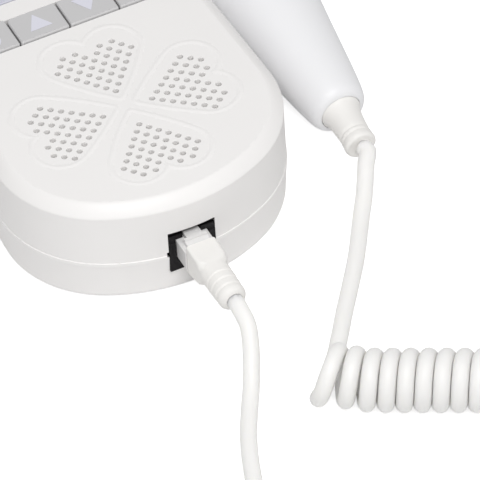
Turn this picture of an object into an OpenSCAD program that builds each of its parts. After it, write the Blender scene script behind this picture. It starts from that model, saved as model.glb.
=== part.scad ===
// Handheld fetal heart monitor: a two-shell case with a clover grille, four keys,
// a display and a battery bay, and a probe on a plugged curly cord.
// The origin is on the flat back, under the centre of the clover.
// +Y points to the display end, +Z out of the face. Lengths are in millimetres.

/* [Case] */
// Length of the case from end to end
case_len = 136; // [130:1:150]
// Greatest width of the case
case_w = 85.5; // [82:0.5:96]
// Thickness of the case, back to face
case_h = 35.5; // [34.5:0.5:42]
// Height of the parting line above the back
seam_z = 15; // [14:0.5:17]
// Distance from the centre of the clover to the cord end
grille_to_end = 40.5; // [38:0.5:46]
// Radius of the cord end
cord_end_r = 53; // [50:1:70]
// Radius of the corners beside the cord end
cord_corner_r = 33.5; // [30:0.5:36]
// Radius of the display end
top_end_r = 62; // [55:1:80]
// Radius of the corners beside the display end
top_corner_r = 28; // [24:1:32]
// Angle at which the sides close towards the display end
side_taper = 3; // [0:0.5:4]
// Thickness of the walls
wall = 2.4; // [1.8:0.1:3]
// Thickness of the face
face_t = 2.2; // [2:0.1:3]
// Thickness of the back
back_t = 2.2; // [1.8:0.1:3]
// Width of the sloped shoulder round the face
shoulder_w = 4; // [2:0.25:6]
// Depth of the shoulder
shoulder_drop = 3.2; // [2:0.1:4]
// How far the lower shell draws in towards the back
lower_draft = 1.2; // [0.5:0.1:2]
// Radius of the edge round the back
back_edge_r = 2.5; // [1:0.25:4]
// Chamfer on each rim at the parting line
seam_chamfer = 0.3; // [0.1:0.05:0.5]
// Height of the tongue that locates the shells
lip_h = 1.2; // [0.8:0.1:2]

/* [Grille] */
// Depth of the heart-shaped recesses
heart_depth = 0.5; // [0.3:0.1:0.9]
// Distance from the centre of the clover to each heart's tip
heart_tip = 3; // [2:0.25:5]
// Radius of a heart's two lobes
lobe_r = 8.2; // [7:0.1:9]
// Distance of each lobe's centre from the heart's middle line
lobe_x = 6.75; // [5.5:0.25:7]
// Distance of the lobes' centres from the centre of the clover
lobe_y = 24.3; // [22:0.1:25]
// Diameter of a sound hole
hole_d = 1.5; // [1:0.1:2]
// Distance between sound holes along a row
hole_pitch = 3.04; // [2.8:0.02:3.1]
// Distance from the centre of the clover to the first hole
first_hole = 7.66; // [7:0.1:8.5]
// Angle of the rows of holes from the heart's middle line
row_angle = 39; // [36:1:41]

/* [Keys] */
// Width of one key with its gap
key_pitch = 15.45; // [14:0.05:15.8]
// Gap between neighbouring keys
key_gap = 0.55; // [0.5:0.05:0.8]
// Distance from the centre of the clover to the keys' lower edge
key_y = 37.5; // [36.5:0.25:39]
// Length of the two middle keys
key_len = 10.8; // [9:0.2:11]
// Angle at which the outer keys' upper edges rise
key_rise = 31; // [20:1:34]
// How far the keys stand proud of the face
key_proud = 0.7; // [0.4:0.1:1.2]
// How far a key travels when pressed
key_travel = 0.7; // [0.4:0.1:0.9]
// Chamfer along the keys' upper edges
key_chamfer = 0.6; // [0.3:0.1:0.8]
// Clearance round the keys and their flanges
key_clear = 0.3; // [0.25:0.05:0.5]
// Thickness of the flange that keeps a key in
key_flange_t = 1.2; // [0.8:0.1:1.6]

/* [Display] */
// Distance from the keys to the display frame
display_gap = 6.7; // [6:0.1:9]
// Distance from the display frame to the display end
display_to_end = 10.5; // [9:0.5:14]
// Width of the display frame
display_w = 48; // [44:0.5:50]
// Width of the frame's border
bezel_w = 3.4; // [2.5:0.1:4.5]
// Radius of the frame's corners
bezel_r = 7; // [5:0.5:9]
// How far the frame stands proud of the face
bezel_proud = 0.3; // [0:0.05:0.6]
// Thickness of the clear window
lens_t = 1; // [0.8:0.1:1.4]

/* [Electronics] */
// Height of the main board's upper face above the back
board_z = 26; // [25.6:0.1:26.4]
// Thickness of the circuit boards
board_t = 1.6; // [1:0.1:2]
// Outer diameter of the speaker
speaker_d = 50; // [44:1:52]
// Height of the speaker with its magnet
speaker_h = 9; // [7:0.5:9]
// Thickness of the foam ring above the speaker
gasket_t = 1; // [0.5:0.1:1.5]
// Diameter of the earphone socket's bore
ear_bore_d = 3.6; // [3.5:0.02:3.7]
// Depth of the earphone socket's bore
ear_bore_len = 9; // [7:0.5:9.5]
// Length of the socket's shank between board screw heads and tips
board_screw_len = 5; // [4:0.5:6]

/* [Battery bay] */
// Diameter of a cell
cell_d = 14.5; // [14:0.1:14.7]
// Length of a cell with its cap
cell_len = 50.5; // [48:0.5:51]
// Room for the contacts at each end of the cells
contact_room = 2.7; // [2.4:0.1:3]
// Distance from the bay to the display end
bay_to_end = 10.6; // [10:0.2:13]
// Thickness of the bay's walls
bay_wall = 1.6; // [1.2:0.1:2]
// Half the width of the battery cover
cover_half = 18.5; // [18:0.25:20]
// Thickness of the battery cover
cover_t = 2.1; // [1.6:0.1:2.4]
// Height of the cover's end wall
cover_end_h = 9; // [7:0.5:11]
// Clearance round the battery cover
cover_clear = 0.25; // [0.2:0.05:0.4]
// How far the battery cover slides before its tabs come free
cover_travel = 8; // [5:0.5:10]
// How far the cover's tabs reach under the lower shell's lips
tab_reach = 1.2; // [0.8:0.1:1.5]
// Length of each of the cover's tabs
tab_run = 7; // [5:0.5:9]

/* [Screws] */
// Radius of the case's screw posts
post_r = 4; // [3.6:0.1:4.5]
// Diameter of a case screw's shank
screw_d = 2.8; // [2.4:0.1:3]
// Diameter of a case screw's head
screw_head_d = 5.2; // [4.8:0.1:5.6]
// Depth at which the case screws' heads sit
screw_sink = 6.5; // [5:0.5:8]
// Length of a case screw's shank
screw_len = 14; // [12:0.5:16]
// Distance of the upper screws from the display end
upper_screw_to_end = 27.5; // [25:0.5:32]

/* [Socket and plug] */
// Width of the modular socket
socket_w = 14.4; // [13.4:0.1:15.2]
// Height of the modular socket
socket_h = 14.6; // [13.8:0.1:14.8]
// Height of the socket's underside above the back
socket_z = 8.4; // [8.2:0.1:8.8]
// Length of the modular socket
socket_len = 16; // [15:0.5:18]
// How far the socket sits back from the wall
socket_sink = 0.4; // [0.3:0.1:1.6]
// Clearance between the socket and the case
socket_clear = 0.1; // [0.05:0.05:0.3]
// Width of the plug
plug_w = 9.65; // [9.2:0.05:9.8]
// Height of the plug's body
plug_h = 6.6; // [6.2:0.1:6.8]
// Height of the plug's underside above the back
plug_z = 13; // [12.6:0.1:13.2]
// Length of the plug inside the socket
plug_in = 11; // [10:0.5:12]
// Clearance between the plug and the socket
plug_clear = 0.25; // [0.15:0.05:0.35]
// Width of the latch
latch_w = 4.8; // [4:0.1:5.4]
// Width of the latch's thumb rest
thumb_w = 7.3; // [6:0.1:8]
// Length of plug that shows between the wall and the boot
plug_out = 5.3; // [5:0.1:7]
// Width and height of the boot's front
boot_w = 9; // [8.4:0.1:9.6]
// Height of the boot's front
boot_h = 10.5; // [9:0.1:11]
// Length of the boot's square part
boot_len = 8.9; // [7:0.1:11]
// Radius of the boot's round strain relief
relief_r = 4.2; // [3.8:0.1:4.4]
// Length of the boot's round strain relief
relief_len = 12.9; // [10:0.1:16]
// Number of grooves in the boot's strain relief
relief_grooves = 3; // [2:1:4]

/* [Cord] */
// Diameter of the cord
cord_d = 4.55; // [4:0.05:4.6]
// Outer diameter of the curls
curl_d = 18; // [16:0.1:22]
// Number of curls
curls = 24; // [12:1:30]
// Distance between curls
curl_pitch = 5.05; // [5.05:0.05:7]

/* [Probe] */
// Length of the probe's body
probe_len = 100; // [96:1:110]
// Distance from the tail to the joint between the probe's shells
probe_split = 74; // [70:1:78]
// Radius of the probe's head
probe_head_r = 17.7; // [16:0.1:18]
// Thickness of the probe's shells
probe_wall = 2; // [1.5:0.1:2.5]
// Thickness of the acoustic window
probe_face_t = 2.4; // [1.6:0.1:3]
// Radius of the collar in the probe's tail
collar_r = 6.25; // [5.8:0.05:6.4]
// Clearance round the collar
collar_clear = 0.1; // [0.05:0.05:0.2]
// Length of the probe's strain relief outside the tail
tail_relief = 14; // [12:0.5:18]

/* [Hidden] */

round_fn = 48;
small_fn = 24;
far = 200;
fit = 0.15;

shell_white = [0.94, 0.94, 0.93];
key_grey = [0.76, 0.76, 0.76];
frame_grey = [0.78, 0.78, 0.83];
socket_black = [0.1, 0.09, 0.1];
board_green = [0.1, 0.35, 0.2];
metal = [0.75, 0.75, 0.74];
cord_white = [0.95, 0.95, 0.93];

// Ends and corner centres of the case's outline
half_w = case_w / 2;
end_y = -grille_to_end;
top_y = end_y + case_len;
cord_end_y = end_y + cord_end_r;
corner_x = half_w - cord_corner_r;
corner_y = cord_end_y - sqrt(pow(cord_end_r - cord_corner_r, 2) - pow(corner_x, 2));
end_half_angle = asin(corner_x / (cord_end_r - cord_corner_r));
// The upper corners touch the tapered sides and the arc of the display end
top_end_y = top_y - top_end_r;
side_x0 = corner_x + (cord_corner_r - top_corner_r) / cos(side_taper)
    + corner_y * tan(side_taper);
side_slope = tan(side_taper);
reach = top_end_r - top_corner_r;
mid_term = side_x0 * side_slope + top_end_y;
top_corner_y = (mid_term + sqrt(pow(mid_term, 2) - (1 + pow(side_slope, 2))
    * (pow(side_x0, 2) + pow(top_end_y, 2) - pow(reach, 2)))) / (1 + pow(side_slope, 2));
top_corner_x = side_x0 - side_slope * top_corner_y;
top_half_angle = asin(top_corner_x / reach);

end_steps = 10;
corner_steps = 16;
shoulder_steps = 5;

face_under = case_h - face_t;
edge_z = case_h - shoulder_drop;

// Keys
row_half = 2 * key_pitch;
key_top_y = key_y + key_len;
flange_top = face_under - key_clear;
flange_bottom = flange_top - key_flange_t;
flange_out = 0.8;
outer_rise = (row_half - key_pitch) * tan(key_rise);
membrane_t = 1.2;
dome_gap = 0.15;

// Display: its frame fills the room between the keys and the display end
display_low_y = key_top_y + display_gap;
display_h = top_y - display_to_end - display_low_y;
display_y = display_low_y + display_h / 2;
bezel_t = 1.4;
bezel_ledge = 1.6;
lens_lap = 1.5;
module_margin = 2.5;
module_gap = 0.3;

// Battery bay: two cells side by side, along Y
cell_gap = 0.3;
cell_z = cover_t + cell_gap + cell_d / 2;
bay_half = cell_d + 2 * cell_gap;
bay_len = cell_len + 2 * contact_room;
bay_y = top_y - bay_to_end - bay_len;
bay_top = cell_z + cell_d / 2 + cell_gap;
plate_w = 10;
plate_t = 0.5;
cover_y = bay_y - bay_wall - 2;
tab_t = 0.9;
tab_places = [bay_y + 5, bay_y + bay_len - 5 - tab_run - cover_travel];

// Case screws stand inside the four corners
post_margin = 0.6;
post_room = wall + post_r + post_margin;
cord_post = [
    corner_x + (cord_corner_r - post_room) * cos(45),
    corner_y - (cord_corner_r - post_room) * sin(45)
];
upper_screw_y = top_y - upper_screw_to_end;
side_x = corner_x + cord_corner_r / cos(side_taper)
    - (upper_screw_y - corner_y) * tan(side_taper);
upper_post = [side_x - post_room, upper_screw_y];
posts = [cord_post, upper_post, [-upper_post[0], upper_post[1]], [-cord_post[0], cord_post[1]]];
screw_head_t = 2.4;
upper_post_r = post_r - 0.5;

// Board screws
board_head_r = 2;
board_head_t = 1.5;
board_shank_r = 0.9;
board_pilot_r = 1;
board_post_r = 2.6;
board_inset = wall + 1.2;
board_low_y = key_y - 8;
board_post_to_end = 17.5;
board_posts = [for (x = [-1, 1]) each [
    [x * (row_half - 3), key_y - flange_out - key_clear - board_post_r - 0.8],
    [x * (display_w / 2 + board_post_r + 0.8), top_y - board_post_to_end]
]];

// Socket
socket_y = end_y + socket_sink;
socket_post_x = socket_w / 2 + board_head_r + 1.2;
socket_post_y = end_y + 12.3;
socket_pilot_z = socket_z - board_t - board_screw_len;
latch_room_h = 2.4;
socket_board_y = end_y + 5.8;

// Plug
plug_nose_y = socket_y + plug_in;
boot_y = end_y - plug_out;
boot_z = plug_z + boot_w / 2;
relief_y = boot_y - boot_len;
lead_y = relief_y - relief_len;
latch_t = 0.9;
latch_pivot = [0, plug_nose_y - 2.5, plug_z + plug_h + latch_t / 2 + 0.15];
latch_rise = 1.5;
thumb_len = 2;
thumb_gap = 0.8;

// Earphone socket in the wall of the display end
ear_bush_r = 2.9;
ear_z = board_z + ear_bush_r;
ear_body_len = 9.6;
ear_step = wall + 1.3;

// Speaker under the grille
speaker_r = speaker_d / 2;
speaker_top = face_under - gasket_t;
magnet_r = 10.5;

// Probe: its axis leans up from the tail to the head
probe_tail = [61.9, -7.2, 10.75];
probe_yaw = 1.5;
probe_tilt = 5.5;
probe_dir = [
    -sin(probe_yaw) * cos(probe_tilt),
    cos(probe_yaw) * cos(probe_tilt),
    sin(probe_tilt)
];
function probe_at(s) = probe_tail + s * probe_dir;
tail_profile = [[0, 7.2], [0.6, 7.9], [1.8, 8.4], [11, 10.1], [21, 11.4], [31, 12.7],
    [41, 14.1], [51, 15.5], [60, 16.5], [68, 17.2]];
collar_depth = 6;
sleeve_profile = [[-0.5, 5.55], [-1.2, 5], [-9.2, 4.55], [-9.5, 4.25], [-10.1, 4.25],
    [-10.4, 4.6], [-13, 4.7]];

// Cord: the tube stays just off the surface that the case lies on
lead_sides = 8;
curl_sides = 6;
curl_rings = 8;
lead_z = 2.5;
curl_r = (curl_d - cord_d) / 2;
curl_axis_z = lead_z + curl_r;
curl_start = [12.9, -101.1];
curl_heading = -28.75;
curl_u = [cos(curl_heading), sin(curl_heading), 0];
curl_f = [sin(curl_heading), -cos(curl_heading), 0];
fan = 4.5;
fan_fade = 0.35;
fan_phase = 44;
lean = 0.7;

// Points of a circular arc, from angle a0 to a1
function arc(c, r, a0, a1, n) =
    [for (i = [0:n]) c + r * [cos(a0 + (a1 - a0) * i / n), sin(a0 + (a1 - a0) * i / n)]];

function tail_of(list, k) = [for (i = [k:len(list) - 1]) list[i]];

// The right half of the case's outline, drawn in by inset, from the cord end up
function half_outline(inset) = concat(
    arc([0, cord_end_y], cord_end_r - inset, -90, -90 + end_half_angle, end_steps),
    tail_of(arc([corner_x, corner_y], cord_corner_r - inset,
        -90 + end_half_angle, side_taper, corner_steps), 1),
    arc([top_corner_x, top_corner_y], top_corner_r - inset,
        side_taper, 90 - top_half_angle, corner_steps),
    tail_of(arc([0, top_end_y], top_end_r - inset, 90 - top_half_angle, 90, end_steps), 1)
);

function outline(inset) =
    let (right = half_outline(inset), n = len(right))
    concat(right, [for (i = [n - 2:-1:1]) [-right[i][0], right[i][1]]]);

function lift(points, z) = [for (p = points) [p[0], p[1], z]];

// Rounds one corner p of an outline, between its neighbours a and b
function corner(p, a, b, r, n) = r <= 0 ? [p] :
    let (
        u = (a - p) / norm(a - p),
        v = (b - p) / norm(b - p),
        half = acos(u * v) / 2,
        c = p + (u + v) / norm(u + v) * r / sin(half),
        t = p + u * r / tan(half) - c,
        a0 = atan2(t[1], t[0])
    )
    arc(c, r, a0, a0 + 180 - 2 * half, n);

function rounded(points, radii, n = 4) =
    let (m = len(points))
    [for (i = [0:m - 1])
        each corner(points[i], points[(i + m - 1) % m], points[(i + 1) % m], radii[i], n)];

function box_outline(w, h, r, n = 4) =
    rounded([[-w / 2, -h / 2], [w / 2, -h / 2], [w / 2, h / 2], [-w / 2, h / 2]],
        [r, r, r, r], n);

// A solid through rings of points that all hold as many points, bottom to top
module skin(rings) {
    n = len(rings[0]);
    last = (len(rings) - 1) * n;
    points = [for (ring = rings) each ring];
    sides = [for (k = [0:len(rings) - 2], i = [0:n - 1])
        let (a = k * n + i, b = k * n + (i + 1) % n)
        each [[a, a + n, b + n], [a, b + n, b]]];
    polyhedron(points, concat(sides, [[for (i = [0:n - 1]) i]],
        [[for (i = [n - 1:-1:0]) last + i]]));
}

// A solid of the case's outline: each ring is [inset, z]
module case_loft(rings) {
    skin([for (r = rings) lift(outline(r[0]), r[1])]);
}

upper_rings = concat(
    [[seam_chamfer, seam_z], [0, seam_z + seam_chamfer]],
    [for (i = [0:shoulder_steps])
        let (t = 1 - i / shoulder_steps)
        [shoulder_w * (1 - t), case_h - shoulder_drop * pow(t, 1.5)]]
);

upper_cavity = [
    [wall, seam_z - 1],
    [wall, edge_z - wall / 2],
    [shoulder_w + wall / 2, face_under]
];

lower_rings = concat(
    [for (a = [90:-30:0])
        let (z = back_edge_r * (1 - sin(a)))
        [lower_draft * (1 - z / seam_z) + back_edge_r * (1 - cos(a)), z]],
    [[0, seam_z - seam_chamfer], [seam_chamfer, seam_z]]
);

lower_cavity = [
    [wall + lower_draft + back_edge_r / 2, back_t],
    [wall + lower_draft / 2, back_t + back_edge_r],
    [wall, seam_z + lip_h + 1]
];

// ---- Case ----

// The straight edges run from the tip to points just inside the round lobes
module heart() {
    inside = lobe_r - 0.02;
    reach_sq = pow(lobe_x, 2) + pow(lobe_y - heart_tip, 2);
    edge = sqrt(reach_sq - pow(inside, 2));
    open = atan(lobe_x / (lobe_y - heart_tip)) + asin(inside / sqrt(reach_sq));
    touch = [edge * sin(open), heart_tip + edge * cos(open)];
    for (s = [-1, 1]) translate([s * lobe_x, lobe_y]) circle(lobe_r, $fn = round_fn);
    polygon([[0, heart_tip], touch, [lobe_x, lobe_y], [0, lobe_y],
        [-lobe_x, lobe_y], [-touch[0], touch[1]]]);
}

// Rows of holes cross in a heart, end with its lobes and leave out the one under its notch
row_last = 6;
lobe_last = 8;

module heart_holes() {
    along = [sin(row_angle), cos(row_angle)];
    across = [-sin(row_angle), cos(row_angle)];
    for (j = [0:row_last], i = [0:min(row_last, lobe_last - j)])
        if (i + j < lobe_last || i != j)
            translate([0, first_hole] + hole_pitch * (i * along + j * across))
                circle(d = hole_d, $fn = 16);
}

module grille() {
    for (k = [0:3]) rotate(90 * k) {
        translate([0, 0, case_h - heart_depth]) linear_extrude(2) heart();
        translate([0, 0, face_under - 1]) linear_extrude(face_t + 2) heart_holes();
    }
}

// The keys' common outline, grown by g
function key_row(g) =
    let (w = row_half - key_gap / 2 + g, rise = outer_rise + g / 2)
    rounded([[-w, key_y - g], [w, key_y - g], [w, key_top_y + rise + g],
        [key_pitch, key_top_y + g], [-key_pitch, key_top_y + g], [-w, key_top_y + rise + g]],
        [4, 4, 3, 0, 0, 3]);

module window_cut() {
    translate([0, display_y, case_h - bezel_t]) linear_extrude(far)
        polygon(box_outline(display_w, display_h, bezel_r));
    translate([0, display_y, face_under - 1]) linear_extrude(far)
        polygon(box_outline(display_w - 2 * bezel_ledge, display_h - 2 * bezel_ledge,
            bezel_r - bezel_ledge));
}

module socket_window() {
    w = socket_w + 2 * socket_clear;
    translate([-w / 2, end_y - 5, socket_z - socket_clear])
        cube([w, 5 + wall + 6, socket_h + 2 * socket_clear]);
}

module upper_housing() color(shell_white) difference() {
    union() {
        difference() {
            case_loft(upper_rings);
            case_loft(upper_cavity);
            case_loft([[wall / 2, seam_z - 1], [wall / 2, seam_z + lip_h + fit]]);
        }
        for (p = posts) translate([p[0], p[1], seam_z + lip_h + fit])
            cylinder(r = upper_post_r, h = face_under - seam_z - lip_h, $fn = small_fn);
        for (p = board_posts) translate([p[0], p[1], board_z])
            cylinder(r = board_post_r, h = face_under - board_z + face_t / 2, $fn = small_fn);
    }
    grille();
    translate([0, 0, face_under - 1]) linear_extrude(far) polygon(key_row(key_clear));
    window_cut();
    socket_window();
    translate([0, top_y + 1, ear_z]) rotate([90, 0, 0])
        cylinder(r = ear_bush_r + fit, h = wall + 4, $fn = round_fn);
    for (p = posts) translate([p[0], p[1], seam_z])
        cylinder(r = screw_d / 2 + 0.05, h = screw_len, $fn = small_fn);
    for (p = board_posts) translate([p[0], p[1], board_z - 1])
        cylinder(r = board_pilot_r, h = board_screw_len + 1, $fn = small_fn);
}

// Room for the battery cover, grown by g on every side
module cover_space(g) {
    half = cover_half + g;
    intersection() {
        translate([-half, cover_y - g, -1]) cube([2 * half, far, cover_end_h + g + 1]);
        union() {
            translate([-far, -far, -1]) cube([2 * far, 2 * far, cover_t + g + 1]);
            difference() {
                translate([-far, bay_y + bay_len + bay_wall, -1]) cube([2 * far, far, far]);
                case_loft([[wall + g, -2], [wall + g, seam_z]]);
            }
        }
    }
}

// The cover's side tabs, grown by g and drawn out by run, their travel
module cover_tabs(g, run) {
    half = cover_half + tab_reach + g;
    for (y = tab_places) translate([-half, y - g, cover_t - tab_t - g])
        cube([2 * half, tab_run + run + 2 * g, tab_t + 2 * g]);
}

// Notches through which the tabs drop once the cover has slid back
module tab_notches(g) {
    half = cover_half + tab_reach + g;
    for (y = tab_places) translate([-half, y + cover_travel - g, -1])
        cube([2 * half, tab_run + 2 * g, cover_t + 1]);
}

module lower_housing() color(shell_white) difference() {
    union() {
        difference() {
            union() {
                case_loft(lower_rings);
                case_loft([[wall / 2 + fit, seam_z - 1], [wall / 2 + fit, seam_z + lip_h]]);
            }
            case_loft(lower_cavity);
        }
        // The bay's block and the cover's lips grow out of the floor and the end wall
        intersection() {
            translate([-bay_half - bay_wall, bay_y - bay_wall, back_t / 2])
                cube([2 * (bay_half + bay_wall), far, bay_top + bay_wall - back_t / 2]);
            union() {
                case_loft([[wall * 0.75 + lower_draft, 0], [wall * 0.75, seam_z - 1.5]]);
                case_loft([[wall + 2 * fit, seam_z - 2], [wall + 2 * fit, face_under]]);
            }
        }
        intersection() {
            translate([-cover_half - 3, cover_y - 2, back_t / 2])
                cube([2 * cover_half + 6, far, cover_t + 2 - back_t / 2]);
            case_loft([[lower_draft + back_edge_r, back_t / 2 - 1], [wall, cover_t + 3]]);
        }
        for (p = posts) translate([p[0], p[1], 0])
            cylinder(r = post_r, h = seam_z + lip_h, $fn = small_fn);
        for (x = [-1, 1]) translate([x * socket_post_x, socket_post_y, back_t / 2])
            cylinder(r = board_post_r, h = socket_z - board_t - back_t / 2, $fn = small_fn);
    }
    translate([-bay_half, bay_y, -1]) cube([2 * bay_half, bay_len, bay_top + 1]);
    cover_space(cover_clear);
    cover_tabs(cover_clear, cover_travel);
    tab_notches(cover_clear);
    socket_window();
    for (p = posts) translate([p[0], p[1], -1]) {
        cylinder(r = screw_head_d / 2 + fit, h = screw_sink + 1, $fn = small_fn);
        cylinder(r = screw_d / 2 + 0.2, h = far, $fn = small_fn);
    }
    for (x = [-1, 1]) translate([x * socket_post_x, socket_post_y, socket_pilot_z])
        cylinder(r = board_pilot_r, h = socket_z, $fn = small_fn);
}

module battery_cover() color(shell_white) difference() {
    union() {
        intersection() {
            case_loft(lower_rings);
            cover_space(0);
        }
        cover_tabs(0, 0);
    }
    for (k = [0:4]) translate([-8, bay_y + bay_len - 6 + 2 * k, -1]) cube([16, 0.9, 1.5]);
}

module case_screws() color(metal) for (p = posts) translate([p[0], p[1], screw_sink]) {
    difference() {
        translate([0, 0, -screw_head_t])
            cylinder(r = screw_head_d / 2, h = screw_head_t, $fn = small_fn);
        for (a = [0, 90]) rotate(a)
            translate([-1.6, -0.35, -screw_head_t - 1]) cube([3.2, 0.7, 2.2]);
    }
    cylinder(d = screw_d, h = screw_len, $fn = small_fn);
}

// ---- Display and keys ----

module display_bezel() color(frame_grey) difference() {
    translate([0, display_y, case_h - bezel_t]) linear_extrude(bezel_t + bezel_proud)
        polygon(box_outline(display_w - 2 * fit, display_h - 2 * fit, bezel_r - fit));
    translate([0, display_y, 0]) linear_extrude(far)
        polygon(box_outline(display_w - 2 * bezel_w, display_h - 2 * bezel_w,
            bezel_r - bezel_w));
    translate([0, display_y, case_h + bezel_proud - lens_t]) linear_extrude(far)
        polygon(lens_outline(fit));
}

// The clear window laps over the inner edge of its frame
function lens_outline(g) = box_outline(
    display_w - 2 * bezel_w + lens_lap + 2 * g,
    display_h - 2 * bezel_w + lens_lap + 2 * g,
    bezel_r - bezel_w + lens_lap / 2 + g
);

module display_lens() color([0.8, 0.85, 0.85, 0.5])
    translate([0, display_y, case_h + bezel_proud - lens_t]) linear_extrude(lens_t)
        polygon(lens_outline(0));

module display_module() color([0.55, 0.6, 0.5]) {
    w = display_w - 2 * module_margin;
    h = display_h - 2 * module_margin + 1;
    glass_top = face_under - module_gap;
    translate([-w / 2, display_y - h / 2, board_z]) cube([w, h, glass_top - board_z - 1]);
    translate([-w / 2 + 1.5, display_y - h / 2 + 1.5, board_z])
        cube([w - 3, h - 3, glass_top - board_z]);
}

// Outline of key k, counted from the left: the outer keys rise beside the display
function key_outline(k, inset) =
    let (
        x0 = (k - 2) * key_pitch + key_gap / 2 + inset,
        x1 = (k - 1) * key_pitch - key_gap / 2 - inset,
        y0 = key_y + inset,
        y1 = key_top_y - inset,
        up = (key_pitch - key_gap) * tan(key_rise),
        low = key_gap / 2 * tan(key_rise),
        left = k == 0 ? y1 + up + low : (k == 3 ? y1 + low : y1),
        right = k == 0 ? y1 + low : (k == 3 ? y1 + up + low : y1),
        big = 3.7 - inset,
        mid = 1.6 - inset / 2,
        small = 0.6 - inset / 2
    )
    rounded([[x0, y0], [x1, y0], [x1, right], [x0, left]], [
        k == 0 ? big : small,
        k == 3 ? big : small,
        k == 3 ? big - 1 : (k == 2 ? mid : small),
        k == 0 ? big - 1 : (k == 1 ? mid : small)
    ]);

// A key cap with a chamfered edge, on a flange that runs under the face
module key(k) color(key_grey) {
    top = case_h + key_proud;
    skin([
        lift(key_outline(k, 0), flange_bottom),
        lift(key_outline(k, 0), top - key_chamfer),
        lift(key_outline(k, key_chamfer * 0.7), top)
    ]);
    // The outer keys' flanges also reach past the ends of the row
    x0 = (k - 2) * key_pitch + (k == 0 ? -2 * flange_out : key_gap / 2);
    x1 = (k - 1) * key_pitch + (k == 3 ? 2 * flange_out : -key_gap / 2);
    intersection() {
        translate([x0, 0, flange_bottom]) cube([x1 - x0, far, key_flange_t]);
        translate([0, 0, flange_bottom - 1]) linear_extrude(far)
            polygon(key_row(flange_out));
    }
}

module key_power() key(0);
module key_up() key(1);
module key_down() key(2);
module key_mode() key(3);

// The middle of each key, where its rubber dome stands
key_spots = [
    [-1.5 * key_pitch, key_y + key_len / 2 + 1],
    [-0.5 * key_pitch, key_y + key_len / 2],
    [0.5 * key_pitch, key_y + key_len / 2],
    [1.5 * key_pitch, key_y + key_len / 2 + 1]
];

module keypad_membrane() color([0.9, 0.9, 0.88]) {
    dome_h = flange_bottom - key_travel - dome_gap - board_z - membrane_t;
    translate([-row_half + 1, key_y - 1, board_z]) cube([2 * row_half - 2, key_len + 3, membrane_t]);
    for (p = key_spots) translate([p[0], p[1], board_z + membrane_t])
        cylinder(r1 = 4, r2 = 2.6, h = dome_h, $fn = small_fn);
}

// ---- Electronics ----

module main_board() color(board_green) difference() {
    translate([0, 0, board_z - board_t]) intersection() {
        linear_extrude(board_t) polygon(outline(board_inset));
        translate([-far / 2, board_low_y, -1]) cube([far, far, far]);
    }
    for (p = posts) translate([p[0], p[1], 0]) cylinder(r = post_r + 0.4, h = far, $fn = small_fn);
    for (p = board_posts) translate([p[0], p[1], 0])
        cylinder(r = board_shank_r + 0.2, h = far, $fn = small_fn);
}

module small_screw() {
    cylinder(r = board_shank_r, h = board_screw_len + board_t - 0.5, $fn = small_fn);
    translate([0, 0, -board_head_t]) cylinder(r = board_head_r, h = board_head_t, $fn = small_fn);
}

module board_screws() color(metal) {
    for (p = board_posts) translate([p[0], p[1], board_z - board_t]) small_screw();
    for (x = [-1, 1]) translate([x * socket_post_x, socket_post_y, socket_z])
        mirror([0, 0, 1]) small_screw();
}

// A steel basket with its magnet below, and a dished cone in its mouth
module speaker() color([0.25, 0.25, 0.26]) translate([0, 0, speaker_top])
    rotate_extrude($fn = round_fn) polygon([
        [0, -speaker_h], [magnet_r, -speaker_h], [magnet_r, -speaker_h / 2],
        [speaker_r * 0.9, -2], [speaker_r, -2], [speaker_r, 0], [speaker_r * 0.86, 0],
        [speaker_r * 0.8, -0.8], [speaker_r * 0.4, -2.6], [speaker_r * 0.2, -1.6], [0, -1.6]]);

module speaker_gasket() color([0.2, 0.2, 0.2]) translate([0, 0, speaker_top]) difference() {
    cylinder(r = speaker_r, h = gasket_t, $fn = round_fn);
    translate([0, 0, -1]) cylinder(r = speaker_r * 0.88, h = far, $fn = round_fn);
}

module earphone_socket() color(socket_black) difference() {
    union() {
        translate([0, top_y - 0.1, ear_z]) rotate([90, 0, 0])
            cylinder(r = ear_bush_r, h = ear_body_len, $fn = round_fn);
        translate([-ear_bush_r, top_y - ear_body_len - 0.1, board_z])
            cube([2 * ear_bush_r, ear_body_len + 0.1 - ear_step, 2 * ear_bush_r]);
    }
    translate([0, top_y + 1, ear_z]) rotate([90, 0, 0])
        cylinder(d = ear_bore_d, h = ear_bore_len + 1.1, $fn = round_fn);
}

// ---- Battery bay ----

module battery_cells() color([0.35, 0.5, 0.35])
    for (s = [-1, 1]) translate([s * (cell_d + cell_gap) / 2, bay_y + contact_room, cell_z])
        rotate([-90, 0, 0]) {
            cylinder(d = cell_d, h = cell_len - 1, $fn = round_fn);
            cylinder(d = 5.2, h = cell_len, $fn = small_fn);
        }

// A plate and a coned spring at each end of each cell
module battery_contacts() color(metal)
    for (s = [-1, 1]) translate([s * (cell_d + cell_gap) / 2, 0, cell_z]) {
        translate([-plate_w / 2, bay_y, -plate_w / 2]) cube([plate_w, plate_t, plate_w]);
        translate([0, bay_y + plate_t, 0]) rotate([-90, 0, 0])
            cylinder(r1 = 3.6, r2 = 2.4, h = contact_room - plate_t - 0.2, $fn = small_fn);
        translate([-plate_w / 2, bay_y + bay_len - plate_t, -plate_w / 2])
            cube([plate_w, plate_t, plate_w]);
        translate([0, bay_y + bay_len - contact_room + 0.2, 0]) rotate([-90, 0, 0])
            cylinder(r1 = 2, r2 = 3.2, h = contact_room - plate_t - 0.2, $fn = small_fn);
    }

// ---- Socket and plug ----

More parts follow.
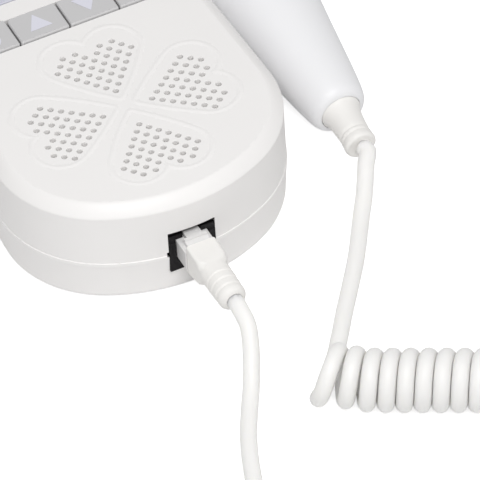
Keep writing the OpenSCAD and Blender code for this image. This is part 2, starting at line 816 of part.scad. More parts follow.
module modular_socket() color(socket_black) difference() {
    translate([-socket_w / 2, socket_y, socket_z]) cube([socket_w, socket_len, socket_h]);
    translate([-plug_w / 2 - plug_clear, socket_y - 1, plug_z - plug_clear])
        cube([plug_w + 2 * plug_clear, plug_in + 1.5, plug_h + 2 * plug_clear]);
    translate([-thumb_w / 2, socket_y - 1, plug_z + plug_h])
        cube([thumb_w, plug_in, latch_room_h + plug_clear]);
}

module socket_board() color(board_green) difference() {
    w = 2 * (socket_post_x + board_head_r + 1);
    translate([-w / 2, socket_board_y, socket_z - board_t])
        cube([w, socket_y + socket_len + 2 - socket_board_y, board_t]);
    for (x = [-1, 1]) translate([x * socket_post_x, socket_post_y, 0])
        cylinder(r = board_shank_r + 0.2, h = far, $fn = small_fn);
}

module plug_body() color([0.93, 0.93, 0.92, 0.8]) difference() {
    translate([-plug_w / 2, boot_y, plug_z]) cube([plug_w, plug_nose_y - boot_y, plug_h]);
    for (k = [-1.5:1:1.5]) translate([k * 1.02 - 0.3, plug_nose_y - 4, plug_z - 1])
        cube([0.6, 5, 3.5]);
}

module plug_contacts() color([0.85, 0.7, 0.35])
    for (k = [-1.5:1:1.5]) translate([k * 1.02 - 0.2, plug_nose_y - 3.9, plug_z + 0.4])
        cube([0.4, 3.4, 2]);

module plug_latch() color([0.9, 0.9, 0.9]) {
    root = latch_pivot - [0, 0, latch_t / 2];
    translate(latch_pivot) rotate([0, 90, 0])
        cylinder(d = latch_t, h = latch_w, center = true, $fn = small_fn);
    thumb_y = boot_y + thumb_gap + thumb_len;
    thumb_z = root[2] + latch_rise;
    translate([-latch_w / 2, 0, 0]) rotate([90, 0, 90]) linear_extrude(latch_w)
        polygon([[root[1], root[2]], [root[1], root[2] + latch_t],
            [thumb_y, thumb_z + latch_t], [thumb_y, thumb_z]]);
    translate([-thumb_w / 2, thumb_y - thumb_len, thumb_z - 0.3])
        cube([thumb_w, thumb_len + 0.4, latch_t + 0.3]);
}

// A section of the boot, whose lower side hangs below its level top
function boot_section(w, h, r) = [for (p = box_outline(w, h, r)) p - [0, (h - boot_w) / 2]];

// A block that turns into a round, grooved strain relief
module plug_boot() color(cord_white) {
    front = boot_section(boot_w, boot_h, 0.7);
    mid = boot_section(boot_w, (boot_w + boot_h) / 2, 1.2);
    back = box_outline(2 * relief_r, 2 * relief_r, relief_r - 0.1);
    translate([0, boot_y, boot_z]) rotate([90, 0, 0])
        skin([lift(front, 0), lift(mid, boot_len * 0.6), lift(back, boot_len)]);
    step = relief_len / (relief_grooves + 1);
    translate([0, relief_y, boot_z]) rotate([90, 0, 0]) rotate_extrude($fn = round_fn)
        polygon(concat([[0, 0], [relief_r, 0]],
            [for (k = [1:relief_grooves]) each [
                [relief_r, k * step - 0.6], [relief_r - 0.7, k * step - 0.4],
                [relief_r - 0.7, k * step + 0.4], [relief_r, k * step + 0.6]]],
            [[relief_r, relief_len - 0.8], [relief_r - 0.8, relief_len], [0, relief_len]]));
}

// ---- Cord ----

// A tube along a route: each ring stands square to the route there
function cross3(a, b) =
    [a[1] * b[2] - a[2] * b[1], a[2] * b[0] - a[0] * b[2], a[0] * b[1] - a[1] * b[0]];
function unit(v) = v / norm(v);
function heading(route, i) =
    unit(route[min(i + 1, len(route) - 1)] - route[max(i - 1, 0)]);

function tube_ring(p, t, r, n, side) =
    let (s = unit(side - (side * t) * t), u = cross3(t, s))
    [for (k = [0:n - 1]) p + r * (cos(360 * k / n) * s + sin(360 * k / n) * u)];

// Height is never along a lead, so level rings need no other guide
module lead_tube(route) {
    skin([for (i = [0:len(route) - 1])
        let (t = heading(route, i))
        tube_ring(route[i], t, cord_d / 2, lead_sides, cross3([0, 0, 1], t))]);
}

// Middle line of the curls: t counts turns from the probe's end
function curl_swing(t) = (1 + cos(360 * t - fan_phase)) / 2;
function curl_axial(t) = curl_pitch * t
    - fan * pow(fan_fade, t) * curl_swing(t) - lean * (1 - curl_swing(t));
function curl_at(t) = [curl_start[0], curl_start[1], curl_axis_z]
    + curl_axial(t) * curl_u
    + curl_r * (sin(360 * t) * curl_f - cos(360 * t) * [0, 0, 1]);
function curl_dir(t) = unit(curl_at(t + 0.001) - curl_at(t - 0.001));

curl_steps = curls * curl_rings;
curl_turns = [for (i = [0:curl_steps]) i / curl_rings];
near_dir = curl_dir(0);
near_end = curl_at(0) - cord_d * near_dir;
far_dir = curl_dir(curls);
far_end = curl_at(curls) + cord_d * far_dir;

// Least distance between neighbouring turns, less one cord diameter
curl_gap = min([for (t = [0:1 / 32:1.5], d = [0.75:1 / 64:1.25])
    norm(curl_at(t + d) - curl_at(t))]) - cord_d;
echo(str("Least gap between curls: ", curl_gap, " mm"));

module curly_cord() color(cord_white) {
    skin(concat(
        [tube_ring(near_end, near_dir, cord_d / 2, curl_sides, curl_u)],
        [for (t = curl_turns)
            tube_ring(curl_at(t), curl_dir(t), cord_d / 2, curl_sides, curl_u)],
        [tube_ring(far_end, far_dir, cord_d / 2, curl_sides, curl_u)]
    ));
}

// From the plug's boot down to the surface, then round to the far end of the curls
plug_route = concat([
    [0, lead_y, boot_z], [0, lead_y - 3, boot_z - 0.2], [-0.1, -76, 15.2],
    [-1.5, -80.4, 12], [-3.6, -84.7, 8.2], [-6.3, -89.8, 5.2], [-9.7, -95.6, 3.3],
    [-13.4, -102.6, 2.6], [-16.8, -110.5, 2.5], [-20.1, -119.8, 2.5],
    [-22.5, -129, 2.5], [-22.5, -138, 2.5], [-19, -147, 2.5], [-12, -155, 2.5],
    [-2, -161, 2.5], [10, -166, 2.5], [22, -171, 2.5], [34, -176, 2.5],
    [46, -181, 2.5], [58, -185, 2.5], [70, -188.5, 2.5], [82, -190, 2.5],
    [93, -189, 2.5], [102, -185, 2.5], [109, -178.5, 2.5]],
    [far_end + 6 * far_dir, far_end]);

// From the near end of the curls along the surface and up to the probe's tail
probe_route = concat([near_end, near_end - 3 * near_dir], [
    [15.8, -90.5, 2.5], [20.4, -86.2, 2.5], [25.6, -80.7, 2.5],
    [31.2, -72.6, 2.5], [38.1, -62.1, 2.5], [43.5, -54.1, 2.5], [48.4, -46, 2.7],
    [52.1, -40, 3.6], [55.4, -35, 5.1], [58.3, -30.8, 6.9], [60.7, -27.2, 8.3]],
    [probe_at(-tail_relief - 2.5), probe_at(-tail_relief)]);

module plug_lead() color(cord_white) lead_tube(plug_route);
module probe_lead() color(cord_white) lead_tube(probe_route);

// ---- Probe ----

// Lays a piece built along +Z on the probe's leaning axis
module on_probe() {
    translate(probe_tail) rotate([probe_tilt - 90, 0, probe_yaw]) children();
}

function turned(points) = [for (p = points) [p[1], p[0]]];

head_edge = 3.2;
head_profile = [
    [probe_split, probe_head_r - 0.3], [probe_split + 3, probe_head_r],
    [probe_len - probe_face_t - head_edge, probe_head_r],
    [probe_len - probe_face_t - 1, probe_head_r - 1.1],
    [probe_len - probe_face_t, probe_head_r - 2.6]
];
spigot_len = 3;
crystal_seat = probe_len - probe_face_t - 2.5;
crystal_t = 1.2;
crystal_r = 10;
backing_t = 6;
backing_r = 8.5;
backing_seat = crystal_seat - crystal_t - backing_t;
probe_board_w = 16;
probe_board_len = 45;
probe_bore_r = 6;
sleeve_end_r = 4.2;

module probe_handle() color(shell_white) on_probe() difference() {
    rotate_extrude($fn = round_fn) polygon(concat([[0, 0]], turned(tail_profile),
        [[probe_head_r - 0.3, probe_split], [0, probe_split]]));
    rotate_extrude($fn = round_fn) polygon(concat(
        [[0, collar_depth + 2], [probe_bore_r, collar_depth + 2]],
        [for (p = tail_profile) if (p[0] > 10) [p[1] - probe_wall, p[0]]],
        [[probe_head_r - 0.3 - probe_wall, probe_split + 1], [0, probe_split + 1]]));
    translate([0, 0, -1]) cylinder(r = collar_r + collar_clear, h = collar_depth + 4, $fn = round_fn);
}

module probe_head() color(shell_white) on_probe() difference() {
    inner = probe_head_r - 0.3 - probe_wall;
    union() {
        rotate_extrude($fn = round_fn)
            polygon(concat([[0, probe_split]], turned(head_profile), [[0, probe_len - probe_face_t]]));
        translate([0, 0, probe_split - spigot_len])
            cylinder(r = inner - fit, h = spigot_len + 1, $fn = round_fn);
    }
    translate([0, 0, probe_split - spigot_len - 1])
        cylinder(r = inner - fit - probe_wall, h = crystal_seat - probe_split + spigot_len + 1,
            $fn = round_fn);
}

module probe_window() color([0.8, 0.82, 0.84]) on_probe() rotate_extrude($fn = round_fn)
    polygon([[0, probe_len - probe_face_t], [probe_head_r - 2.6, probe_len - probe_face_t],
        [probe_head_r - 3.2, probe_len - 1], [probe_head_r - 5, probe_len - 0.3],
        [probe_head_r / 3, probe_len], [0, probe_len]]);

module probe_crystal() color(metal) on_probe() {
    translate([0, 0, crystal_seat - crystal_t])
        cylinder(r = crystal_r, h = crystal_t, $fn = round_fn);
    translate([0, 0, backing_seat]) cylinder(r = backing_r, h = backing_t, $fn = round_fn);
}

module probe_board() color(board_green) on_probe()
    translate([-probe_board_w / 2, -board_t / 2, backing_seat - probe_board_len])
        cube([probe_board_w, board_t, probe_board_len]);

module probe_strain_relief() color(cord_white) on_probe() rotate_extrude($fn = round_fn)
    polygon(concat([[0, collar_depth], [collar_r - 0.2, collar_depth],
        [collar_r, collar_depth - 0.2], [collar_r, -0.2]], turned(sleeve_profile),
        [[sleeve_end_r, -tail_relief], [0, -tail_relief]]));

upper_housing();
lower_housing();
display_bezel();
display_lens();
display_module();
key_power();
key_up();
key_down();
key_mode();
keypad_membrane();
main_board();
board_screws();
speaker();
speaker_gasket();
earphone_socket();
modular_socket();
socket_board();
battery_cells();
battery_contacts();
battery_cover();
case_screws();
plug_body();
plug_latch();
plug_contacts();
plug_boot();
plug_lead();
curly_cord();
probe_lead();
probe_handle();
probe_head();
probe_window();
probe_crystal();
probe_board();
probe_strain_relief();
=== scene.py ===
"""A handheld fetal heart monitor with its probe and curly cord, dressed round its frame.

Sizes are in metres. The frame's origin is on the monitor's flat back, under the centre
of its clover grille, +X runs along the keys and +Y towards the display.
"""

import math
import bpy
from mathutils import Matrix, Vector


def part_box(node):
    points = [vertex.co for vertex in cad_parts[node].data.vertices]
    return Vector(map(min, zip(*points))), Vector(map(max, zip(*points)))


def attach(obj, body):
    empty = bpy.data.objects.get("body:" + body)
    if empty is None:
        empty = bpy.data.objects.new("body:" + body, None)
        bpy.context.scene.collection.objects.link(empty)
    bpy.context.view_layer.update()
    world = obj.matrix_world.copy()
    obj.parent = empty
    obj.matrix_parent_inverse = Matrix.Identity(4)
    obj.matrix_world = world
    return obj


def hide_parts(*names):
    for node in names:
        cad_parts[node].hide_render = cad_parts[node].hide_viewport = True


bl_info = {
    "name": "Heart Monitor",
    "version": (1, 0, 0),
    "blender": (4, 5, 0),
    "location": "View3D > Sidebar > Monitor",
    "description": "Builds a handheld heart monitor with its probe and curly cord",
    "category": "Add Mesh",
}

from functools import partial

import bmesh
import bpy
from bpy.props import FloatProperty, FloatVectorProperty, IntProperty, PointerProperty
from mathutils import Matrix, Vector

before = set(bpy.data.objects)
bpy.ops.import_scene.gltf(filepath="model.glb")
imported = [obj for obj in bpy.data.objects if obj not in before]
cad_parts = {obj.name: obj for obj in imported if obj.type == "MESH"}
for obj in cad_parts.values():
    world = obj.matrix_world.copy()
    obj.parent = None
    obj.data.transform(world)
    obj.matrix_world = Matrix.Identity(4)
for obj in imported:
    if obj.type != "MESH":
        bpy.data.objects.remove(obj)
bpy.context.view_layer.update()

MM = 0.001
NOZZLE = 1e-6
UP = Vector((0, 0, 1))


# ---- Sizes and colours that a user would change ----


def length(name, description, millimetres):
    """A size, whose default is written in millimetres."""
    return FloatProperty(
        name=name,
        description=description,
        default=millimetres * MM,
        subtype="DISTANCE",
        unit="LENGTH",
        precision=5,
    )


def turn(name, description, degrees):
    """An angle, whose default is written in degrees."""
    return FloatProperty(
        name=name,
        description=description,
        default=math.radians(degrees),
        subtype="ANGLE",
        unit="ROTATION",
    )


def count(name, description, number):
    """A whole number of copies or steps."""
    return IntProperty(name=name, description=description, default=number, min=1)


def share(name, description, value):
    """A plain number."""
    return FloatProperty(name=name, description=description, default=value)


def colour(name, description, value):
    """A linear colour."""
    return FloatVectorProperty(
        name=name, description=description, default=value, subtype="COLOR", min=0, max=1
    )


class CaseSizes(bpy.types.PropertyGroup):
    """The two shells of the case."""

    length: length("Length", "Length from end to end", 136)
    width: length("Width", "Greatest width", 85.5)
    height: length("Height", "Thickness from back to face", 35.5)
    seam_z: length("Seam", "Height of the parting line", 15)
    grille_to_end: length("Grille to end", "From the clover's centre to the cord end", 40.5)
    cord_end_r: length("Cord end radius", "Radius of the cord end", 53)
    cord_corner_r: length("Cord corner radius", "Radius of the corners beside it", 33.5)
    top_end_r: length("Display end radius", "Radius of the display end", 62)
    top_corner_r: length("Display corner radius", "Radius of the corners beside it", 28)
    side_taper: turn("Side taper", "Angle at which the sides close", 3)
    wall: length("Wall", "Thickness of the walls", 2.4)
    face_t: length("Face", "Thickness of the face", 2.2)
    shoulder_w: length("Shoulder width", "Width of the slope round the face", 4)
    shoulder_drop: length("Shoulder drop", "Depth of the slope round the face", 3.2)
    rim_inset: length("Rim inset", "How far the front shell's rim stands in", 0.2)
    seam_chamfer: length("Seam chamfer", "Chamfer on the back shell's rim", 0.3)
    lip_h: length("Lip", "Height of the tongue that locates the shells", 1.2)
    fit: length("Fit", "Clearance between the shells", 0.15)


class GrilleSizes(bpy.types.PropertyGroup):
    """The clover of four hearts and its sound holes."""

    ridge: length("Ridge", "Height of the soft ridge round each heart", 0.17)
    shift: length("Shift", "How far the hearts stand off the holes' centre", 1.35)
    tip: length("Tip", "From the hearts' centre to each heart's tip", 2.2)
    tip_r: length("Tip radius", "Radius of the heart's tip", 1.2)
    bulge: length("Bulge", "How far a heart's flanks swell", 0.45)
    lobe_r: length("Lobe radius", "Radius of a heart's lobes", 8.3)
    lobe_x: length("Lobe offset", "Distance of the lobes from the middle line", 6.75)
    lobe_y: length("Lobe distance", "Distance of the lobes from the hearts' centre", 23.3)
    slope: length("Slope", "Width of either slope of the ridge", 1.05)
    hole_d: length("Hole diameter", "Diameter of a sound hole", 1.5)
    flare: length("Flare", "Chamfer round the mouth of a sound hole", 0.22)
    pitch: length("Pitch", "Distance between the holes of a row", 3.04)
    first_hole: length("First hole", "From the clover's centre to the first hole", 7.66)
    row_angle: turn("Row angle", "Angle of the rows from the heart's middle line", 39)


class KeySizes(bpy.types.PropertyGroup):
    """The row of four keys."""

    pitch: length("Pitch", "Width of one key with its gap", 15.45)
    gap: length("Gap", "Gap between keys", 0.48)
    start_y: length("Lower edge", "From the clover's centre to the keys", 37.5)
    length: length("Length", "Length of the middle keys", 10.8)
    rise: turn("Rise", "Angle at which the outer keys' edges rise", 31)
    proud: length("Proud", "Height of the keys above the face", 0.7)
    chamfer: length("Chamfer", "Chamfer along the upper edges", 0.5)
    clear: length("Clearance", "Clearance round the row", 0.3)
    flange_t: length("Flange", "Thickness of the flange under the face", 1.2)
    flange_out: length("Flange reach", "How far the flange reaches past the caps", 0.8)
    mark_t: length("Mark", "Height of the printed marks", 0.03)


class DisplaySizes(bpy.types.PropertyGroup):
    """The display's frame and window."""

    centre_y: length("Centre", "From the clover's centre to the display's", 70)
    width: length("Width", "Width of the frame", 48)
    height: length("Height", "Height of the frame", 30)
    border: length("Border", "Width of the frame's border", 3.4)
    corner_r: length("Corner radius", "Radius of the frame's corners", 7)
    proud: length("Proud", "Height of the frame above the face", 0.3)
    frame_t: length("Frame thickness", "Thickness of the frame", 1.4)
    ledge: length("Ledge", "Width of the ledge that carries the frame", 1.6)
    lens_t: length("Lens thickness", "Thickness of the clear window", 1)
    lens_lap: length("Lens lap", "How far the window laps over the frame", 1.5)
    fit: length("Fit", "Clearance round the frame and window", 0.15)


class SocketSizes(bpy.types.PropertyGroup):
    """The modular socket and the plug in it."""

    width: length("Width", "Width of the socket", 14.4)
    height: length("Height", "Height of the socket", 14.6)
    z: length("Underside", "Height of its underside above the back", 8.4)
    depth: length("Depth", "Length of the socket", 16)
    sink: length("Sink", "How far it sits back from the wall", 0.4)
    clear: length("Clearance", "Clearance between the socket and the case", 0.1)
    plug_w: length("Plug width", "Width of the plug", 9.65)
    plug_h: length("Plug height", "Height of the plug", 6.6)
    plug_z: length("Plug underside", "Height of the plug's underside", 13)
    plug_in: length("Plug depth", "Length of the plug inside the socket", 11)
    plug_out: length("Plug showing", "Length of plug that shows", 5.3)
    plug_clear: length("Plug clearance", "Clearance between plug and socket", 0.25)
    latch_w: length("Latch width", "Width of the latch", 4.8)
    thumb_w: length("Thumb width", "Width of the latch's thumb rest", 7.3)
    boot_w: length("Boot width", "Width of the boot's front", 9)
    boot_h: length("Boot height", "Height of the boot's front", 10.5)
    boot_len: length("Boot length", "Length of the boot's square part", 8.9)
    relief_r: length("Relief radius", "Radius of the boot's strain relief", 4.2)
    relief_len: length("Relief length", "Length of the boot's strain relief", 12.9)
    grooves: count("Grooves", "Number of grooves in the strain relief", 3)


class CordSizes(bpy.types.PropertyGroup):
    """The cord and its curls."""

    diameter: length("Diameter", "Diameter of the cord", 4.95)
    lead_z: length("Lead height", "Height of the lying cord's middle line", 2.5)
    curl_r: length("Curl radius", "Radius of a curl's middle line", 6.725)
    pitch: length("Curl pitch", "Distance between curls", 5.05)
    curls: count("Curls", "Number of curls", 24)
    fan: length("Fan", "How far the first curl is drawn out", 4.5)
    fan_fade: share("Fan fade", "What is left of the fan after one turn", 0.35)
    fan_phase: turn("Fan phase", "Where in a turn the fan is widest", 44)
    lean: length("Lean", "How far the curls lean", 0.7)
    behind: length("Behind", "How far the first curl lies behind the others", 2.3)
    behind_turns: share("Behind turns", "Turns over which the curls come into line", 2.8)
    heading: turn("Heading", "Direction of the curls' axis", -28.75)
    end_run: length("End run", "Straight run at each end of the curls", 4.55)


class ProbeSizes(bpy.types.PropertyGroup):
    """The tapered probe."""

    length: length("Length", "Length of the probe's body", 100)
    split: length("Split", "From the tail to the joint between its shells", 74)
    head_r: length("Head radius", "Radius of the head", 17.7)
    face_t: length("Window", "Thickness of the acoustic window", 2.4)
    collar_r: length("Collar radius", "Radius of the collar in the tail", 6)
    collar_depth: length("Collar depth", "Depth of the collar in the tail", 6)
    relief: length("Relief", "Length of the strain relief outside the tail", 14)
    sleeve_lean: turn("Sleeve lean", "How far the sleeve leans out of line", 2.8)
    yaw: turn("Yaw", "Direction of the probe", 1.5)
    tilt: turn("Tilt", "Slope of the probe's axis", 5.5)


class Finishes(bpy.types.PropertyGroup):
    """Colours of the main materials."""

    shell: colour("Housing", "White moulded housing", (0.885, 0.87, 0.86))
    probe: colour("Probe", "White moulded probe", (0.87, 0.87, 0.885))
    keys: colour("Keys", "Grey keys", (0.58, 0.575, 0.58))
    marks: colour("Marks", "Pale marks on the keys", (0.72, 0.72, 0.8))
    display_frame: colour("Display frame", "Pale violet grey frame", (0.6, 0.6, 0.68))
    display: colour("Display", "Unlit liquid crystal", (0.4, 0.44, 0.38))
    socket: colour("Socket", "Black socket", (0.007, 0.006, 0.007))
    cord: colour("Cord", "White cord", (0.88, 0.87, 0.848))
    boot: colour("Boot", "White boot and strain reliefs", (0.87, 0.855, 0.83))
    plug: colour("Plug", "Milky clear plug", (0.82, 0.81, 0.805))


class StageSettings(bpy.types.PropertyGroup):
    """Camera and light."""

    distance: FloatProperty(
        name="Distance", description="Camera distance", default=5.55, subtype="DISTANCE"
    )
    frame_w: length("Frame width", "Width of the picture at the monitor", 134.96)
    ambient: share("Ambient", "Light from all round", 0.4)
    lamp_power: share("Lamp power", "Strength of the overhead lamp", 12)
    floor_glow: share("Floor glow", "How far the floor is lifted towards white", 0.66)


# ---- Outlines ----


def arc(centre, radius, start, end, steps):
    """Points of a round arc, from one angle to the other."""
    x, y = centre
    angles = [start + (end - start) * i / steps for i in range(steps + 1)]
    return [(x + radius * math.cos(a), y + radius * math.sin(a)) for a in angles]


def lift(points, z):
    """Flat points at one height."""
    return [Vector((x, y, z)) for x, y in points]


def case_arcs(s):
    """Centre, radius, angles and steps of the arcs on the case's right side, cord end first."""
    end_y = -s.grille_to_end
    cord_y = end_y + s.cord_end_r
    corner_x = s.width / 2 - s.cord_corner_r
    corner_y = cord_y - math.sqrt((s.cord_end_r - s.cord_corner_r) ** 2 - corner_x**2)
    cord_open = math.asin(corner_x / (s.cord_end_r - s.cord_corner_r)) - math.pi / 2
    top_y = end_y + s.length - s.top_end_r
    slope = math.tan(s.side_taper)
    side_x = corner_x + corner_y * slope
    side_x += (s.cord_corner_r - s.top_corner_r) / math.cos(s.side_taper)
    reach = s.top_end_r - s.top_corner_r
    middle = side_x * slope + top_y
    spread = middle**2 - (1 + slope**2) * (side_x**2 + top_y**2 - reach**2)
    upper_y = (middle + math.sqrt(spread)) / (1 + slope**2)
    upper_x = side_x - slope * upper_y
    top_open = math.pi / 2 - math.asin(upper_x / reach)
    return [
        ((0, cord_y), s.cord_end_r, -math.pi / 2, cord_open, 14),
        ((corner_x, corner_y), s.cord_corner_r, cord_open, s.side_taper, 22),
        ((upper_x, upper_y), s.top_corner_r, s.side_taper, top_open, 20),
        ((0, top_y), s.top_end_r, top_open, math.pi / 2, 14),
    ]


def case_ring(s, inset, z):
    """The case's outline, drawn in by inset, at one height."""
    cord_end, corner, upper, top_end = [
        arc(centre, radius - inset, start, end, steps)
        for centre, radius, start, end, steps in case_arcs(s)
    ]
    right = cord_end + corner[1:] + upper + top_end[1:]
    left = [(-x, y) for x, y in reversed(right[1:-1])]
    return lift(right + left, z)


def corner_points(point, before, after, radius, steps):
    """A rounded corner of an outline."""
    if radius <= NOZZLE:
        return [tuple(point)] * (steps + 1)
    point, before, after = Vector(point), Vector(before), Vector(after)
    u = (before - point).normalized()
    v = (after - point).normalized()
    half = u.angle(v) / 2
    centre = point + (u + v).normalized() * radius / math.sin(half)
    touch = point + u * radius / math.tan(half) - centre
    start = math.atan2(touch.y, touch.x)
    return arc(centre, radius, start, start + math.pi - 2 * half, steps)


def rounded(points, radii, steps=8):
    """An outline with each corner rounded by its own radius."""
    n = len(points)
    out = []
    for i, (point, radius) in enumerate(zip(points, radii)):
        out += corner_points(point, points[i - 1], points[(i + 1) % n], radius, steps)
    return out


def box_outline(width, height, radius, steps=8):
    """A rectangle with round corners, about the origin."""
    w, h = width / 2, height / 2
    return rounded([(-w, -h), (w, -h), (w, h), (-w, h)], [radius] * 4, steps)


def heart_outline(g, grow):
    """The upper heart of the clover, grown by a margin, from its tip round its lobes."""
    tip_r = max(g.tip_r + grow, 0.1 * MM)
    lobe_r = g.lobe_r + grow
    half = math.atan2(g.lobe_x, g.lobe_y - g.tip)
    spread = math.hypot(g.lobe_x, g.lobe_y - g.tip)
    flank = half + math.asin(g.lobe_r / spread)
    tip_y = g.tip + (tip_r - grow) / math.sin(flank)
    notch = math.acos(g.lobe_x / lobe_r)
    tip = arc((0, tip_y), tip_r, -math.pi / 2, -flank, 4)
    lobe = arc((g.lobe_x, g.lobe_y), lobe_r, -flank, math.pi - notch, 28)
    (x0, y0), (x1, y1) = tip[-1], lobe[0]
    side = []
    for i in range(1, 12):
        t = i / 12
        swell = 4 * g.bulge * t * (1 - t)
        x = x0 + (x1 - x0) * t + swell * math.cos(flank)
        side.append((x, y0 + (y1 - y0) * t - swell * math.sin(flank)))
    right = tip + side + lobe
    left = [(-x, y) for x, y in reversed(right[1:-1])]
    return right + left


def key_row_outline(k, grow):
    """The slot that holds all four keys."""
    w = 2 * k.pitch - k.gap / 2 + grow
    low = k.start_y - grow
    top = k.start_y + k.length + grow
    high = top + k.pitch * math.tan(k.rise) + grow / 2
    points = [(-w, low), (w, low), (w, high), (k.pitch, top), (-k.pitch, top), (-w, high)]
    return rounded(points, [4 * MM, 4 * MM, 3 * MM, 0, 0, 3 * MM])


def key_outline(k, number, inset):
    """One key of the row, counted from the left."""
    left = (number - 2) * k.pitch + k.gap / 2 + inset
    right = (number - 1) * k.pitch - k.gap / 2 - inset
    low = k.start_y + inset
    top = k.start_y + k.length - inset
    near = top + k.gap / 2 * math.tan(k.rise)
    away = near + (k.pitch - k.gap) * math.tan(k.rise)
    left_top = {0: away, 3: near}.get(number, top)
    right_top = {0: near, 3: away}.get(number, top)
    small = 0.6 * MM - inset / 2
    radii = [small] * 4
    if number == 0:
        radii[0], radii[3] = 3.7 * MM - inset, 2.7 * MM - inset
    if number == 3:
        radii[1], radii[2] = 3.7 * MM - inset, 2.7 * MM - inset
    if number == 1:
        radii[3] = 1.6 * MM - inset / 2
    if number == 2:
        radii[2] = 1.6 * MM - inset / 2
    return rounded([(left, low), (right, low), (right, right_top), (left, left_top)], radii)


# ---- Meshes ----


def into_scene(name, bm):
    """An object at the origin with this mesh."""
    mesh = bpy.data.meshes.new(name)
    bm.to_mesh(mesh)
    bm.free()
    obj = bpy.data.objects.new(name, mesh)
    bpy.context.scene.collection.objects.link(obj)
    return obj


def solid(name, bm):
    """An object with its doubles merged and its faces outwards."""
    bmesh.ops.remove_doubles(bm, verts=bm.verts, dist=NOZZLE)
    bmesh.ops.recalc_face_normals(bm, faces=bm.faces)
    return into_scene(name, bm)


def loft(name, rings, hollow=False):
    """A closed solid through rings that hold as many points each."""
    bm = bmesh.new()
    rows = [[bm.verts.new(p) for p in ring] for ring in rings]
    ends = rows[:1] if hollow else []
    for low, high in zip(rows, rows[1:] + ends):
        for i in range(len(low)):
            j = (i + 1) % len(low)
            bm.faces.new((low[i], low[j], high[j], high[i]))
    if not hollow:
        bm.faces.new(rows[0])
        bm.faces.new(rows[-1])
    return solid(name, bm)


def band(name, rings):
    """A closed frame: the rings go round its cross-section."""
    return loft(name, rings, hollow=True)


def prism(name, outline, low, high):
    """A flat outline between two heights."""
    return loft(name, [lift(outline, low), lift(outline, high)])


def box(name, low, high):
    """A plain block between two corners, for cutting and joining."""
    (x0, y0, z0), (x1, y1, z1) = low, high
    return prism(name, [(x0, y0), (x1, y0), (x1, y1), (x0, y1)], z0, z1)


def lathe(name, profile, place, steps=96):
    """A solid turned about local Z from (height, radius) points, and put in place."""
    bm = bmesh.new()
    rows = []
    for height, radius in profile:
        ring = arc((0, 0), radius, 0, 2 * math.pi, steps)[:-1]
        if radius < NOZZLE:
            ring = [(0, 0)]
        rows.append([bm.verts.new(place @ p) for p in lift(ring, height)])
    for low, high in zip(rows, rows[1:]):
        for i in range(steps):
            j = (i + 1) % steps
            ends = [low[i % len(low)], low[j % len(low)], high[j % len(high)], high[i % len(high)]]
            face = [v for n, v in enumerate(ends) if v is not ends[n - 1]]
            if len(face) > 2:
                bm.faces.new(face)
    return solid(name, bm)


def settle(obj):
    """Makes what the modifiers show a plain mesh, and takes them off."""
    depsgraph = bpy.context.evaluated_depsgraph_get()
    old = obj.data
    obj.data = bpy.data.meshes.new_from_object(
        obj.evaluated_get(depsgraph), preserve_all_data_layers=True, depsgraph=depsgraph
    )
    obj.modifiers.clear()
    obj.data.name = obj.name
    bpy.data.meshes.remove(old)
    return obj


def soften(obj, limit=40):
    """Smooth shading that keeps the corners sharper than a limit, in degrees."""
    obj.data.polygons.foreach_set("use_smooth", [True] * len(obj.data.polygons))
    obj.data.set_sharp_from_angle(angle=math.radians(limit))
    weigh = obj.modifiers.new("Even shading", "WEIGHTED_NORMAL")
    weigh.keep_sharp = True
    weigh.weight = 80
    return settle(obj)


def bevel(obj, width, segments):
    """Rounds the sharp edges."""
    mod = obj.modifiers.new("Round edges", "BEVEL")
    mod.width = width
    mod.segments = segments
    mod.limit_method = "ANGLE"
    mod.angle_limit = math.radians(35)
    mod.harden_normals = False
    return settle(obj)


def combine(obj, operation, tools):
    """Cuts each tool from the solid, or joins it to the solid, and deletes the tools."""
    for tool in tools:
        mod = obj.modifiers.new(tool.name, "BOOLEAN")
        mod.operation = operation
        mod.solver = "EXACT"
        mod.object = tool
    settle(obj)
    for tool in tools:
        bpy.data.objects.remove(tool, do_unlink=True)
    return obj


def cut(obj, *cutters):
    """Cuts tools from a solid."""
    return combine(obj, "DIFFERENCE", cutters)


def join(obj, *pieces):
    """Joins pieces to a solid."""
    return combine(obj, "UNION", pieces)


def copy_of_node(name, node):
    """A merged copy of a frame's node, with soft shading."""
    bm = bmesh.new()
    bm.from_mesh(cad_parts[node].data)
    bmesh.ops.remove_doubles(bm, verts=bm.verts, dist=NOZZLE)
    return soften(into_scene(name, bm), 30)


def paint(mesh, material):
    """Gives a mesh its one material."""
    mesh.materials.clear()
    mesh.materials.append(material)


def seat(obj, body, slot, finish, *nodes):
    """Gives a finished piece its material and its body, and hides the nodes that it stands for."""
    paint(obj.data, material(finish))
    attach(obj, body)
    if nodes:
        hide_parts(*nodes)


# ---- Nodes and materials ----


def feed(tree, socket, value):
    """Gives a socket a plain value, or a link from another socket."""
    if isinstance(value, bpy.types.NodeSocket):
        tree.links.new(value, socket)
    else:
        socket.default_value = value


def node_at(tree, kind, inputs=None, **values):
    """A new node with some of its settings, and what goes into its sockets."""
    node = tree.nodes.new(kind)
    for key, value in values.items():
        setattr(node, key, value)
    for socket, value in (inputs or {}).items():
        feed(tree, node.inputs[socket], value)
    return node


def maths(tree, operation, *values):
    """A number worked out from sockets or plain values."""
    inputs = dict(enumerate(values))
    return node_at(tree, "ShaderNodeMath", inputs, operation=operation).outputs[0]


def add_sockets(tree, side, **kinds):
    """Names a tree's inputs or outputs, listed by kind."""
    for kind, labels in kinds.items():
        for label in labels.split(", "):
            tree.interface.new_socket(name=label, in_out=side, socket_type="NodeSocket" + kind)


